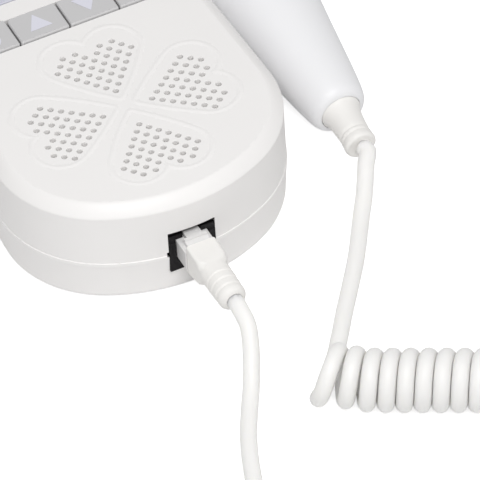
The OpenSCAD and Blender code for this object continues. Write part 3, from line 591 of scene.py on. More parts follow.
def moulded_group():
    """The surface of moulded plastic: fine grain, a faint mottle and uneven gloss."""
    name = "Moulded surface"
    if name in bpy.data.node_groups:
        return bpy.data.node_groups[name]
    tree = bpy.data.node_groups.new(name, "ShaderNodeTree")
    add_sockets(tree, "INPUT", Color="Color", Float="Mottle, Roughness, Grain Scale")
    add_sockets(tree, "OUTPUT", Color="Color", Float="Roughness, Height")
    entry = node_at(tree, "NodeGroupInput").outputs
    place = node_at(tree, "ShaderNodeTexCoord").outputs["Object"]
    cloud = node_at(tree, "ShaderNodeTexNoise", {"Vector": place, "Scale": 45, "Detail": 4})
    fine = {"Vector": place, "Scale": entry["Grain Scale"], "Detail": 3}
    grain = node_at(tree, "ShaderNodeTexNoise", fine)
    shift = maths(tree, "SUBTRACT", cloud.outputs["Fac"], 0.5)
    swing = maths(tree, "MULTIPLY_ADD", shift, entry["Mottle"], 1)
    tinted = {0: entry["Color"], "Scale": swing}
    tint = node_at(tree, "ShaderNodeVectorMath", tinted, operation="SCALE")
    gloss = maths(tree, "MULTIPLY_ADD", shift, 0.25, entry["Roughness"])
    out = {"Color": tint.outputs[0], "Roughness": gloss, "Height": grain.outputs["Fac"]}
    node_at(tree, "NodeGroupOutput", out)
    return tree


def plastic(name, color, roughness=0.4, mottle=0.03, grain=2500, depth=0.02, **sockets):
    """A moulded plastic, rubber or coated material."""
    mat = bpy.data.materials.new(name)
    mat.use_nodes = True
    tree = mat.node_tree
    look = {
        "Color": (*color, 1),
        "Mottle": mottle,
        "Roughness": roughness,
        "Grain Scale": grain,
    }
    group = node_at(tree, "ShaderNodeGroup", node_tree=moulded_group())
    for socket, value in look.items():
        feed(tree, group.inputs[socket], value)
    surface = group.outputs
    relief = {"Strength": 0.35, "Distance": depth * MM, "Height": surface["Height"]}
    bump = node_at(tree, "ShaderNodeBump", relief)
    fed = {"Base Color": surface["Color"], "Roughness": surface["Roughness"]}
    fed |= {"Normal": bump.outputs["Normal"], **sockets}
    for socket, value in fed.items():
        feed(tree, tree.nodes["Principled BSDF"].inputs[socket.replace("_", " ")], value)
    return mat


PLATED = {"mottle": 0.1, "grain": 6000, "Metallic": 1}
# Light that soaks 4 mm into the cord's pale jacket
SOFT_CORE = {
    "Subsurface_Weight": 1,
    "Subsurface_Radius": (1, 1, 0.95),
    "Subsurface_Scale": 4 * MM,
}
# A colour, or the name of one in the scene's finishes, and how it differs from plain plastic
MATERIALS = {
    "Housing white": ("shell", dict(Specular_IOR_Level=0.35)),
    "Probe white": ("probe", dict(roughness=0.42, depth=0.01, Specular_IOR_Level=0.35)),
    "Key grey": ("keys", dict(roughness=0.38, mottle=0.06, depth=0.015)),
    "Mark pale": ("marks", dict(roughness=0.5)),
    "Frame violet grey": ("display_frame", dict(roughness=0.35)),
    "Liquid crystal": ("display", dict(roughness=0.25, mottle=0.04)),
    "Socket black": ("socket", dict(roughness=0.5, mottle=0.3, Specular_IOR_Level=0.2)),
    "Cord white": ("cord", dict(roughness=0.45, mottle=0.02, grain=1800, **SOFT_CORE)),
    "Boot white": ("boot", dict(roughness=0.55, grain=1500)),
    "Plug milky clear": ("plug", dict(roughness=0.25, Transmission_Weight=0.1, IOR=1.5)),
    "Window clear": (
        (0.95, 0.97, 0.97),
        dict(roughness=0.05, mottle=0, depth=0, Transmission_Weight=1, IOR=1.49),
    ),
    "Acoustic window": ((0.66, 0.69, 0.72), dict(roughness=0.3)),
    "Plated steel": ((0.55, 0.55, 0.54), dict(roughness=0.35, **PLATED)),
    "Gold plate": ((0.8, 0.6, 0.25), dict(roughness=0.25, **PLATED)),
    "Solder resist": ((0.02, 0.13, 0.05), dict(roughness=0.3, mottle=0.2)),
    "Silicone": ((0.75, 0.75, 0.73), dict(roughness=0.6)),
    "Speaker black": ((0.03, 0.03, 0.033), dict(roughness=0.6)),
    "Foam": ((0.02, 0.02, 0.02), dict(roughness=0.9)),
    "Cell sleeve": ((0.2, 0.33, 0.27), dict(roughness=0.35)),
    "Silvered ceramic": ((0.6, 0.55, 0.5), {}),
}


def material(name):
    """A listed material, made when it is first asked for."""
    if name in bpy.data.materials:
        return bpy.data.materials[name]
    color, look = MATERIALS[name]
    if isinstance(color, str):
        color = getattr(bpy.context.scene.monitor_finishes, color)
    return plastic(name, color, **look)


# ---- Geometry node trees ----


def geometry_tree(name, **kinds):
    """A new geometry tree with its inputs, and the sockets of its first node."""
    tree = bpy.data.node_groups.new(name, "GeometryNodeTree")
    tree.is_modifier = True
    add_sockets(tree, "INPUT", Geometry="Geometry", **kinds, Material="Material")
    add_sockets(tree, "OUTPUT", Geometry="Geometry")
    return tree, node_at(tree, "NodeGroupInput").outputs


def finish_tree(tree, entry, geometry):
    """Ends a tree in Realize Instances and Set Material."""
    real = node_at(tree, "GeometryNodeRealizeInstances", {0: geometry}).outputs[0]
    painted = {"Geometry": real, "Material": entry["Material"]}
    last = node_at(tree, "GeometryNodeSetMaterial", painted)
    node_at(tree, "NodeGroupOutput", {0: last.outputs[0]})
    return tree


def run_tree(obj, tree, values):
    """Runs a tree on an object and leaves a plain mesh."""
    mod = obj.modifiers.new(tree.name, "NODES")
    mod.node_group = tree
    for item in tree.interface.items_tree:
        if item.in_out == "INPUT" and item.name in values:
            mod[item.identifier] = values[item.name]
    return settle(obj)


def vector(tree, **axes):
    """A vector from the axes that aren't 0."""
    return node_at(tree, "ShaderNodeCombineXYZ", axes).outputs[0]


def cylinder(tree, sides, radius, depth):
    """A round bar about Z."""
    inputs = {"Vertices": sides, "Radius": radius, "Depth": depth}
    return node_at(tree, "GeometryNodeMeshCylinder", inputs).outputs["Mesh"]


def raise_by(tree, geometry, height):
    """Geometry moved along Z."""
    inputs = {"Geometry": geometry, "Translation": vector(tree, Z=height)}
    return node_at(tree, "GeometryNodeTransform", inputs).outputs[0]


def boolean(tree, operation, first, *others):
    """Geometry cut by others, or joined with them when there's no first."""
    node = node_at(tree, "GeometryNodeMeshBoolean", operation=operation, solver="EXACT")
    if first is not None:
        tree.links.new(first, node.inputs["Mesh 1"])
    for other in others:
        tree.links.new(other, node.inputs["Mesh 2"])
    return node


def copies_on(tree, points, instance, **more):
    """A copy of some geometry on every point."""
    inputs = {"Points": points, "Instance": instance, **more}
    return node_at(tree, "GeometryNodeInstanceOnPoints", inputs).outputs[0]


def perforation_tree():
    """Drills a lattice of holes in each of four leaves round the origin."""
    tree, value = geometry_tree(
        "Perforations",
        Float="Hole Radius, Pitch, First Hole, Row Angle, Middle Height, Depth, Flare, "
        "Mouth Height",
        Int="Sides",
    )
    calc = partial(maths, tree)
    row = 7
    square = {"Vertices X": row, "Vertices Y": row}
    grid = node_at(tree, "GeometryNodeMeshGrid", square)
    index = node_at(tree, "GeometryNodeInputIndex").outputs[0]
    i = calc("FLOOR", calc("DIVIDE", index, row))
    j = calc("MODULO", index, row)
    total = calc("ADD", i, j)
    apart = calc("SUBTRACT", i, j)
    side = calc("MULTIPLY", calc("SINE", value["Row Angle"]), value["Pitch"])
    ahead = calc("MULTIPLY", calc("COSINE", value["Row Angle"]), value["Pitch"])
    reach = calc("ADD", calc("MULTIPLY", ahead, total), value["First Hole"])
    spot = vector(tree, X=calc("MULTIPLY", side, apart), Y=reach, Z=value["Middle Height"])
    placed = {"Geometry": grid.outputs["Mesh"], "Position": spot}
    lattice = node_at(tree, "GeometryNodeSetPosition", placed).outputs[0]
    # The lattice ends with the lobes, and leaves out the hole under the notch
    notch = calc("MULTIPLY", calc("COMPARE", total, 8, 0.5), calc("COMPARE", apart, 0, 0.5))
    outside = calc("ADD", calc("GREATER_THAN", total, 8.5), notch)
    trimmed = {"Geometry": lattice, "Selection": outside}
    trim = node_at(tree, "GeometryNodeDeleteGeometry", trimmed, domain="POINT")
    radius, flare = value["Hole Radius"], value["Flare"]
    drill = cylinder(tree, value["Sides"], radius, value["Depth"])
    # The mouth's cone is centred on the face, and as high above it as below
    cone_h = calc("MULTIPLY", flare, 2)
    cone = {
        "Vertices": value["Sides"],
        "Radius Bottom": radius,
        "Radius Top": calc("ADD", radius, cone_h),
        "Depth": cone_h,
    }
    mouth = node_at(tree, "GeometryNodeMeshCone", cone)
    below = calc("SUBTRACT", value["Mouth Height"], value["Middle Height"])
    mouth = raise_by(tree, mouth.outputs["Mesh"], calc("SUBTRACT", below, flare))
    tool = boolean(tree, "UNION", None, drill, mouth)
    leaf = copies_on(tree, trim.outputs[0], tool.outputs[0])
    hub = node_at(tree, "GeometryNodeMeshLine", {"Count": 4, "Offset": (0, 0, 0)})
    quarter = vector(tree, Z=calc("MULTIPLY", index, math.pi / 2))
    clover = copies_on(tree, hub.outputs[0], leaf, Rotation=quarter)
    holes = node_at(tree, "GeometryNodeRealizeInstances", {0: clover}).outputs[0]
    drilled = boolean(tree, "DIFFERENCE", value["Geometry"], holes)
    return finish_tree(tree, value, drilled.outputs[0])


def screw_tree():
    """Puts a screw with a crossed recess on every point, head down."""
    tree, value = geometry_tree(
        "Crossed screws", Float="Head Radius, Head Height, Shank Radius, Shank Length"
    )
    calc = partial(maths, tree)
    radius, height, shank_h = (value[n] for n in ("Head Radius", "Head Height", "Shank Length"))
    head = raise_by(tree, cylinder(tree, 40, radius, height), calc("MULTIPLY", height, -0.5))
    slots = node_at(tree, "GeometryNodeJoinGeometry")
    wide, thin = calc("MULTIPLY", radius, 1.25), calc("MULTIPLY", radius, 0.27)
    for x, y in ((wide, thin), (thin, wide)):
        blade = node_at(tree, "GeometryNodeMeshCube", {"Size": vector(tree, X=x, Y=y, Z=height)})
        blade = raise_by(tree, blade.outputs["Mesh"], calc("MULTIPLY", height, -1.1))
        tree.links.new(blade, slots.inputs[0])
    recess = boolean(tree, "DIFFERENCE", head, slots.outputs[0])
    recess.inputs["Self Intersection"].default_value = True
    shank = cylinder(tree, 28, value["Shank Radius"], shank_h)
    shank = raise_by(tree, shank, calc("MULTIPLY", shank_h, 0.5))
    whole = boolean(tree, "UNION", None, recess.outputs[0], shank)
    return finish_tree(tree, value, copies_on(tree, value["Geometry"], whole.outputs[0]))


# ---- Case ----


def settings(*groups):
    """The scene's property groups of these names."""
    return [getattr(bpy.context.scene, "monitor_" + group) for group in groups]


def upper_rings(s):
    """Rings of the upper shell, from the middle of its face round its rim to its roof."""
    edge_z = s.height - s.shoulder_drop
    lip_z = s.seam_z + s.lip_h + s.fit
    steps = 14
    spots = [(s.shoulder_w, s.height)]
    for i in range(1, steps + 1):
        t = (i / steps) ** 1.4
        spots.append((s.shoulder_w * (1 - t), s.height - s.shoulder_drop * t**1.5))
    spots += [
        (0, edge_z - 0.3 * MM),
        (s.rim_inset, s.seam_z),
        (s.wall / 2, s.seam_z),
        (s.wall / 2, lip_z),
        (s.wall, lip_z),
        (s.wall, edge_z - s.wall / 2),
        (s.shoulder_w + s.wall / 2, s.height - s.face_t),
    ]
    return [case_ring(s, inset, z) for inset, z in spots]


def ridges(g, face_z):
    """Soft ridges round the four hearts, sunk into the face."""
    steps = 6
    buried = face_z - 0.5 * MM
    sections = [(g.slope, buried)]
    for i in range(2 * steps + 1):
        along = 1 - i / steps
        ease = 1 - abs(along)
        rise = ease * ease * (3 - 2 * ease)
        sections.append((g.slope * along, face_z - NOZZLE + g.ridge * rise))
    sections.append((-g.slope, buried))
    out = []
    for quarter in range(4):
        spin = Matrix.Translation((0, g.shift, 0))
        spin @= Matrix.Rotation(quarter * math.pi / 2, 4, "Z")
        rings = [[spin @ p for p in lift(heart_outline(g, grow), z)] for grow, z in sections]
        out.append(band(f"heart_ridge_{quarter}", rings))
    return out


def flared_cut(name, outline, low_z, face_z, flare):
    """A cutter whose mouth is chamfered at the face; outline(grow) gives its shape."""
    spots = [(0, low_z), (0, face_z - flare), (flare, face_z), (flare, face_z + 3 * MM)]
    return loft(name, [lift(outline(grow), z) for grow, z in spots])


def seam_nick(s, j):
    """The small gap that the shells leave at the window's left edge."""
    x, y = -j.width / 2, -s.grille_to_end
    return box(
        "seam_nick",
        (x - 0.65 * MM, y - 5 * MM, s.seam_z - 0.6 * MM),
        (x + 1 * MM, y + 3 * MM, s.seam_z + 0.9 * MM),
    )


def socket_cut(s, j, name):
    """The socket's opening through the cord end."""
    end_y = -s.grille_to_end
    half = j.width / 2 + j.clear
    low = (-half, end_y - 5 * MM, j.z - j.clear)
    return box(name, low, (half, end_y + s.wall + 6 * MM, j.z + j.height + j.clear))


class MONITOR_OT_upper_shell(bpy.types.Operator):
    """Builds the front shell with its clover grille, key slot and display opening"""

    bl_idname = "monitor.upper_shell"
    bl_label = "Upper Shell"

    def execute(self, context):
        s, g, k, d, j = settings("case", "grille", "keys", "display", "socket")
        under = s.height - s.face_t - 1 * MM
        low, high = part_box("earphone_socket")
        ear = Matrix.Translation((0, high.y + 3 * MM, (low.z + high.z) / 2))
        ear @= Matrix.Rotation(math.pi / 2, 4, "X")
        ear_r = (high.x - low.x) / 2 + s.fit

        def slot(grow):
            return key_row_outline(k, k.clear + grow)

        def window(grow):
            flat = box_outline(d.width + 2 * grow, d.height + 2 * grow, d.corner_r + grow)
            return [(x, y + d.centre_y) for x, y in flat]

        shell = cut(
            loft("front_shell", upper_rings(s)),
            flared_cut("slot_cut", slot, under, s.height, 0.15 * MM),
            flared_cut("window_cut", window, s.height - d.frame_t, s.height, 0.12 * MM),
            prism("window_hole", window(-d.ledge), under, s.height),
            socket_cut(s, j, "socket_cut"),
            seam_nick(s, j),
            lathe("ear_cut", [(0, 0), (0, ear_r), (9 * MM, ear_r), (9 * MM, 0)], ear),
        )
        join(shell, *ridges(g, s.height))
        values = {
            "Hole Radius": g.hole_d / 2,
            "Pitch": g.pitch,
            "First Hole": g.first_hole,
            "Row Angle": g.row_angle,
            "Middle Height": s.height - s.face_t / 2,
            "Depth": s.face_t + 1 * MM,
            "Flare": g.flare,
            "Mouth Height": s.height,
            "Sides": 20,
            "Material": material("Housing white"),
        }
        run_tree(shell, perforation_tree(), values)
        seat(soften(shell, 45), "base", "shell", "Housing white", "upper_housing")
        return {"FINISHED"}


class MONITOR_OT_lower_shell(bpy.types.Operator):
    """Builds the back shell and the battery cover"""

    bl_idname = "monitor.lower_shell"
    bl_label = "Lower Shell"

    def execute(self, context):
        s, j = settings("case", "socket")
        back = copy_of_node("back_shell", "lower_housing")
        inner, foot = s.wall / 2 - 0.1 * MM, s.seam_z - 1.5 * MM
        spots = [
            (0, foot),
            (0, s.seam_z - s.seam_chamfer),
            (s.seam_chamfer, s.seam_z),
            (inner, s.seam_z - 0.02 * MM),
            (inner, foot),
        ]
        rim = band("rim", [case_ring(s, inset, z) for inset, z in spots])
        join(back, cut(rim, socket_cut(s, j, "rim_gap")))
        cut(back, seam_nick(s, j))
        seat(soften(back, 30), "base", "shell", "Housing white", "lower_housing")
        cover = copy_of_node("battery_door", "battery_cover")
        seat(cover, "battery_cover", "shell", "Housing white", "battery_cover")
        return {"FINISHED"}


class MONITOR_OT_screws(bpy.types.Operator):
    """Puts the four case screws in the back"""

    bl_idname = "monitor.screws"
    bl_label = "Case Screws"

    def execute(self, context):
        low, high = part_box("case_screws")
        head_r = 2.6 * MM
        head_t = 2.4 * MM
        rows = ((low.y + head_r, 27.99 * MM), (high.y - head_r, high.x - head_r))
        points = [(x, y, low.z + head_t) for y, half in rows for x in (-half, half)]
        bm = bmesh.new()
        for point in points:
            bm.verts.new(point)
        screws = into_scene("case_screw_set", bm)
        values = {
            "Head Radius": head_r,
            "Head Height": head_t,
            "Shank Radius": 1.4 * MM,
            "Shank Length": high.z - low.z - head_t,
            "Material": material("Plated steel"),
        }
        run_tree(screws, screw_tree(), values)
        seat(soften(screws), "base", "steel", "Plated steel", "case_screws")
        return {"FINISHED"}


# ---- Keys ----

KEY_NODES = ("key_power", "key_up", "key_down", "key_mode")


def key_solid(s, k, number):
    """A key cap with a rounded chamfer, joined to its flange."""
    top = s.height + k.proud
    flange_top = s.height - s.face_t - k.clear
    low = flange_top - k.flange_t
    rings = [lift(key_outline(k, number, 0), z) for z in (low, top - k.chamfer)]
    for i in range(1, 6):
        a = math.radians(15 + 12 * i)
        draw = k.chamfer * 0.75 * (1 - math.cos(a)) / (1 - math.cos(math.radians(75)))
        rise = k.chamfer * (1 - math.sin(math.radians(90) - a) ** 1.5)
        rings.append(lift(key_outline(k, number, draw), top - k.chamfer + rise))
    cap = loft(KEY_NODES[number] + "_cap", rings)
    wide = 2 * k.flange_out
    left = (number - 2) * k.pitch + (k.gap / 2 if number else -wide)
    right = (number - 1) * k.pitch + (wide if number == 3 else -k.gap / 2)
    side = 60 * MM
    flange = cut(
        prism("flange", key_row_outline(k, k.flange_out), low, flange_top),
        box("left_cut", (-side, 0, 0), (left, 2 * side, side)),
        box("right_cut", (right, 0, 0), (side, 2 * side, side)),
    )
    return soften(join(cap, flange), 50)


def key_spot(k, number, across, down):
    """A place on a key, as shares of its width from the left and its height from the top."""
    left = (number - 2) * k.pitch + k.gap / 2
    width = k.pitch - k.gap
    return (left + across * width, k.start_y + k.length * (1 - down))


def ring_mark(name, centre, radius, line, gap, low, high):
    """A round line, open at the top by an angle."""
    start = math.pi / 2 + gap / 2
    end = math.pi * 5 / 2 - gap / 2
    outer, inner = [arc(centre, radius + x, start, end, 40) for x in (line / 2, -line / 2)]
    edges = [lift(outer, low), lift(outer, high), lift(inner, high), lift(inner, low)]
    return loft(name, list(zip(*edges)))


class MONITOR_OT_keys(bpy.types.Operator):
    """Builds the four keys and the marks on them"""

    bl_idname = "monitor.keys"
    bl_label = "Keys"

    def execute(self, context):
        s, k = settings("case", "keys")
        for number, node in enumerate(KEY_NODES):
            seat(key_solid(s, k, number), node, "keys", "Key grey", node)
        top = s.height + k.proud
        faces = (top - k.mark_t, top + k.mark_t)
        line = 0.9 * MM

        def bar(name, centre, half, start, end):
            (x, y), sides = centre, ((-1, start), (1, start), (1, end), (-1, end))
            return prism(name, [(x + sign * half, y + dy) for sign, dy in sides], *faces)

        up = [key_spot(k, 1, *p) for p in ((0.28, 0.74), (0.737, 0.724), (0.486, 0.165))]
        down = [key_spot(k, 2, *p) for p in ((0.5, 0.754), (0.74, 0.2), (0.26, 0.2))]
        power, mode = [key_spot(k, number, 0.5, 0.565) for number in (0, 3)]
        opening = math.radians(70)
        marks = [
            ("key_up", prism("up_arrow", up, *faces)),
            ("key_down", prism("down_arrow", down, *faces)),
            ("key_power", ring_mark("power_ring", power, 2.9 * MM, line, opening, *faces)),
            ("key_power", bar("power_stem", power, line / 2, 0.6 * MM, 3.8 * MM)),
        ]
        for n in (-1, 0, 1):
            centre = (mode[0], mode[1] + n * 2.1 * MM)
            marks.append(
                ("key_mode", bar(f"mode_bar_{n + 1}", centre, 3 * MM, -line / 2, line / 2))
            )
        for body, mark in marks:
            seat(mark, body, "keys", "Mark pale")
        return {"FINISHED"}


# ---- Display ----


class MONITOR_OT_display(bpy.types.Operator):
    """Builds the display's frame and dresses its window and panel"""

    bl_idname = "monitor.display"
    bl_label = "Display"

    def execute(self, context):
        s, d = settings("case", "display")
        top = s.height + d.proud
        low = s.height - d.frame_t
        lens_low = top - d.lens_t

        def ring(inset, z):
            w, h = d.width - 2 * inset, d.height - 2 * inset
            flat = box_outline(w, h, max(d.corner_r - inset, 0.5 * MM), 12)
            return lift([(x, y + d.centre_y) for x, y in flat], z)

        round_r = 0.35 * MM
        rebate = d.border - d.lens_lap / 2 - d.fit
        rings = [ring(d.fit, low)]
        for i in range(5):
            a = math.pi / 2 * i / 4
            inset = d.fit + round_r * (1 - math.cos(a))
            rings.append(ring(inset, top - round_r * (1 - math.sin(a))))
        rings += [
            ring(rebate - 0.25 * MM, top),
            ring(rebate, top - 0.25 * MM),
            ring(rebate, lens_low),
            ring(d.border, lens_low),
            ring(d.border, low),
        ]
        bezel = soften(band("display_surround", rings), 40)
        seat(bezel, "base", "display_frame", "Frame violet grey", "display_bezel")
        low_corner, high_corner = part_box("display_lens")
        inset = (d.width - (high_corner.x - low_corner.x)) / 2
        pane = loft(
            "display_pane",
            [
                ring(inset, low_corner.z),
                ring(inset, high_corner.z - 0.15 * MM),
                ring(inset + 0.15 * MM, high_corner.z),
            ],
        )
        seat(soften(pane), "base", "window", "Window clear", "display_lens")
        panel = copy_of_node("liquid_crystal", "display_module")
        seat(panel, "base", "display", "Liquid crystal", "display_module")
        return {"FINISHED"}


# ---- Socket and plug ----


class MONITOR_OT_socket(bpy.types.Operator):
    """Builds the black modular socket in the cord end"""

    bl_idname = "monitor.socket"
    bl_label = "Modular Socket"

    def execute(self, context):
        s, j = settings("case", "socket")
        face_y = -s.grille_to_end + j.sink
        half = j.width / 2
        top = j.z + j.height
        block = box("socket_block", (-half, face_y, j.z), (half, face_y + j.depth, top))
        throat = j.plug_w / 2 + j.plug_clear
        back_y = face_y + j.plug_in + 0.5 * MM
        roof = j.plug_z + j.plug_h
        slot = j.latch_w / 2 + 0.35 * MM
        cut(
            block,
            box(
                "plug_cut",
                (-throat, face_y - 1 * MM, j.plug_z - j.plug_clear),
                (throat, back_y, roof + j.plug_clear),
            ),
            box(
                "latch_cut",
                (-slot, face_y - 1 * MM, roof - 0.1 * MM),
                (slot, back_y - 0.5 * MM, roof + 2.65 * MM),
            ),
            # Two ledges across the face, which catch the light
            box(
                "upper_ledge",
                (-half, face_y - 1 * MM, top - 1.5 * MM),
                (half, face_y + 2 * MM, top - 0.3 * MM),
            ),
            box(
                "lower_ledge",
                (-half, face_y - 1 * MM, roof - 0.5 * MM),
                (half, face_y + 0.3 * MM, top - 0.3 * MM),
            ),
        )
        bevel(block, 0.12 * MM, 2)
        seat(soften(block), "base", "socket", "Socket black", "modular_socket")
        ear = copy_of_node("earphone_jack", "earphone_socket")
        seat(ear, "base", "socket", "Socket black", "earphone_socket")
        return {"FINISHED"}


def along_plug(points, distance, z):
    """A flat outline stood across the plug, at a distance from the boot's front."""
    return [Vector((x, -distance, z + y)) for x, y in points]


class MONITOR_OT_plug(bpy.types.Operator):
    """Builds the modular plug with its latch and boot"""

    bl_idname = "monitor.plug"
    bl_label = "Modular Plug"

    def execute(self, context):
        s, j = settings("case", "socket")
        nose_y = -s.grille_to_end + j.sink + j.plug_in
        boot_y = -s.grille_to_end - j.plug_out
        boot_z = j.plug_z + j.boot_w / 2
        half = j.plug_w / 2
        body = box(
            "plug_shell", (-half, boot_y, j.plug_z), (half, nose_y, j.plug_z + j.plug_h)
        )
        pitch = 1.02 * MM
        slots = [
            box(
                f"slot_{n}",
                (x - 0.3 * MM, nose_y - 4 * MM, j.plug_z - 1 * MM),
                (x + 0.3 * MM, nose_y + 1 * MM, j.plug_z + 2.5 * MM),
            )
            for n, x in enumerate([pitch * (i - 1.5) for i in range(4)])
        ]
        cut(body, *slots)
        bevel(body, 0.2 * MM, 3)
        seat(soften(body), "base", "plug", "Plug milky clear", "plug_body")

        low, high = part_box("plug_latch")
        root_y = nose_y - 2.5 * MM
        root_z = j.plug_z + j.plug_h + 0.15 * MM
        thick = 0.9 * MM
        rest_y = low.y + 0.05 * MM
        thumb_y = low.y + 2.8 * MM
        thumb_z = high.z - 0.7 * MM - thick
        outline = [
            (root_y, root_z),
            (root_y, root_z + thick),
            (thumb_y, thumb_z + thick),
            (thumb_y, thumb_z),
        ]
        w = j.latch_w / 2
        half_rest = j.thumb_w / 2 - 0.2 * MM
        tongue = loft("plug_tongue", [[Vector((x, y, z)) for y, z in outline] for x in (-w, w)])
        crest = thumb_z + thick
        wedge = [
            (thumb_y + 0.2 * MM, thumb_z - 1.2 * MM),
            (thumb_y + 0.2 * MM, crest),
            (thumb_y - 0.9 * MM, crest),
            (thumb_y - 1 * MM, crest - 0.25 * MM),
            (rest_y, crest - 1.2 * MM),
            (rest_y, thumb_z - 1.2 * MM),
        ]
        sides = [[Vector((x, y, z)) for y, z in wedge] for x in (-half_rest, half_rest)]
        join(tongue, loft("thumb_rest", sides))
        bevel(tongue, 0.12 * MM, 2)
        seat(soften(tongue), "plug_latch", "plug", "Plug milky clear", "plug_latch")
        paint(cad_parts["plug_contacts"].data, material("Gold plate"))

        boot = self.boot(j, boot_y, boot_z)
        seat(boot, "base", "cord", "Boot white", "plug_boot")
        return {"FINISHED"}

    def boot(self, j, boot_y, boot_z):
        """A square block that turns into a round, grooved strain relief."""
        edge = 0.35 * MM
        w, h = j.boot_w, j.boot_h
        sections = [
            (0, w - 2 * edge, h - 2 * edge, 0.5 * MM),
            (edge * 0.3, w - 0.6 * edge, h - 0.6 * edge, 0.6 * MM),
            (edge, w, h, 0.7 * MM),
            (j.boot_len * 0.55, w, h - 0.9 * MM, 0.9 * MM),
            (j.boot_len * 0.8, w, w + 0.2 * MM, 1.3 * MM),
            (j.boot_len * 0.9, w - 0.15 * MM, w - 0.15 * MM, 2.2 * MM),
            (j.boot_len * 1.02, w - 0.6 * MM, w - 0.6 * MM, 3.6 * MM),
        ]
        for n in range(1, j.grooves + 1):
            middle = j.boot_len + j.relief_len * (0.11 + 0.213 * n)
            swell = (0.2 - 0.08 * n) * MM
            for shift, drop in ((-0.6, 0), (-0.3, 0.42), (0, 0.5), (0.3, 0.42), (0.6, -0.05)):
                r = j.relief_r + swell - drop * 0.7 * MM
                sections.append((middle + shift * MM, 2 * r, 2 * r, r * 0.97))
        end = j.boot_len + j.relief_len
        for shift, drop in ((-2.2, 0), (-1.4, 0.1), (-0.7, 0.5), (-0.25, 1.05), (0, 1.75)):
            r = j.relief_r - drop * MM
            sections.append((end + shift * MM, 2 * r, 2 * r, r * 0.97))
        rings = []
        for distance, wide, high, r in sections:
            # The front hangs below the plug's level top
            hang = max(high - j.boot_w, 0) / 2
            flat = [(x, y - hang) for x, y in box_outline(wide, high, r, 10)]
            rings.append(along_plug(flat, distance - boot_y, boot_z))
        return soften(loft("plug_boot_cover", rings), 38)


# ---- Cord ----

# In millimetres: from the plug's boot down to the surface, then round to the curls' far end
PLUG_ROUTE = [
    (0, -67.6, 17.5), (0, -70.6, 17.3), (-0.1, -76, 15.2), (-1.5, -80.4, 12),
    (-3.6, -84.7, 8.2), (-6.3, -89.8, 5.2), (-9.7, -95.6, 3.3), (-13.4, -102.6, 2.6),
    (-16.8, -110.5, 2.5), (-20.1, -119.8, 2.5), (-22.5, -129, 2.5), (-22.5, -138, 2.5),
    (-19, -147, 2.5), (-12, -155, 2.5), (-2, -161, 2.5), (10, -166, 2.5), (22, -171, 2.5),
    (34, -176, 2.5), (46, -181, 2.5), (58, -185, 2.5), (70, -188.5, 2.5), (82, -190, 2.5),
    (93, -189, 2.5), (102, -185, 2.5), (109, -178.5, 2.5),
]
# In millimetres: from the curls' near end along the surface and up to the probe's tail
PROBE_ROUTE = [
    (12.1, -97.5, 2.5), (14.6, -94.4, 2.5), (17.5, -91, 2.5), (20.8, -87.2, 2.5),
    (25.7, -80.2, 2.5), (30.8, -72.6, 2.5), (38.1, -62.1, 2.5), (43.5, -54.1, 2.5),
    (48.4, -46, 2.7), (52.1, -40, 3.6), (55.4, -35, 5.1), (58, -30.6, 6.9), (60.1, -26.9, 8.3),
]
CURL_START = Vector((0.0129, -0.1011, 0))
PROBE_TAIL = Vector((0.0619, -0.0072, 0.01075))


def probe_place(p):
    """Lays what is built along +Z on the probe's leaning axis."""
    spin = Matrix.Rotation(p.yaw, 4, "Z") @ Matrix.Rotation(p.tilt - math.pi / 2, 4, "X")
    return Matrix.Translation(PROBE_TAIL) @ spin


def sleeve_place(p):
    """Where the probe's sleeve lies, which the cord pulls out of line with the probe."""
    return probe_place(p) @ Matrix.Rotation(p.sleeve_lean, 4, "Y")


def curl_point(c, t):
    """The middle line of the curls after t turns."""
    ahead = Vector((math.cos(c.heading), math.sin(c.heading), 0))
    side = Vector((math.sin(c.heading), -math.cos(c.heading), 0))
    turned = 2 * math.pi * t
    swing = (1 + math.cos(turned - c.fan_phase)) / 2
    run = c.pitch * t - c.fan * c.fan_fade**t * swing - c.lean * (1 - swing)
    around = math.sin(turned) * side - math.cos(turned) * UP
    # The first curls lie a little behind the others
    lag = min(max(t, 0) / c.behind_turns, 1)
    behind = c.behind * (1 - lag * lag * (3 - 2 * lag))
    middle = CURL_START + UP * (c.lead_z + c.curl_r) + run * ahead - behind * side
    return middle + c.curl_r * around


def curl_heading(c, t):
    """The direction of the curls' middle line after t turns."""
    return (curl_point(c, t + NOZZLE) - curl_point(c, t - NOZZLE)).normalized()


def smooth_line(points, step):
    """A smooth line through points, in steps of about one length."""
    points = [2 * points[0] - points[1], *points, 2 * points[-1] - points[-2]]
    out = []
    for a, b, c, d in zip(points, points[1:], points[2:], points[3:]):
        n = max(2, round((c - b).length / step))
        for i in range(n):
            t = i / n
            bend = 2 * a - 5 * b + 4 * c - d
            twist = 3 * b - a - 3 * c + d
            out.append(0.5 * (2 * b + (c - a) * t + bend * t**2 + twist * t**3))
    out.append(points[-2])
    return out


def tube(name, path, radius, sides):
    """A round tube along a path, without twist, its ends closed."""
    last = len(path) - 1
    headings = [
        (path[min(i + 1, last)] - path[max(i - 1, 0)]).normalized() for i in range(len(path))
    ]
    spokes = arc((0, 0), radius, 0, 2 * math.pi, sides)[:-1]
    side = headings[0].orthogonal().normalized()
    rings = []
    for point, heading in zip(path, headings):
        side = (side - side.dot(heading) * heading).normalized()
        across = heading.cross(side)
        rings.append([point + x * side + y * across for x, y in spokes])
    return loft(name, rings)


def route_back(points):
    """A route that is listed in millimetres, from its far end."""
    return [Vector(p) * MM for p in reversed(points)]


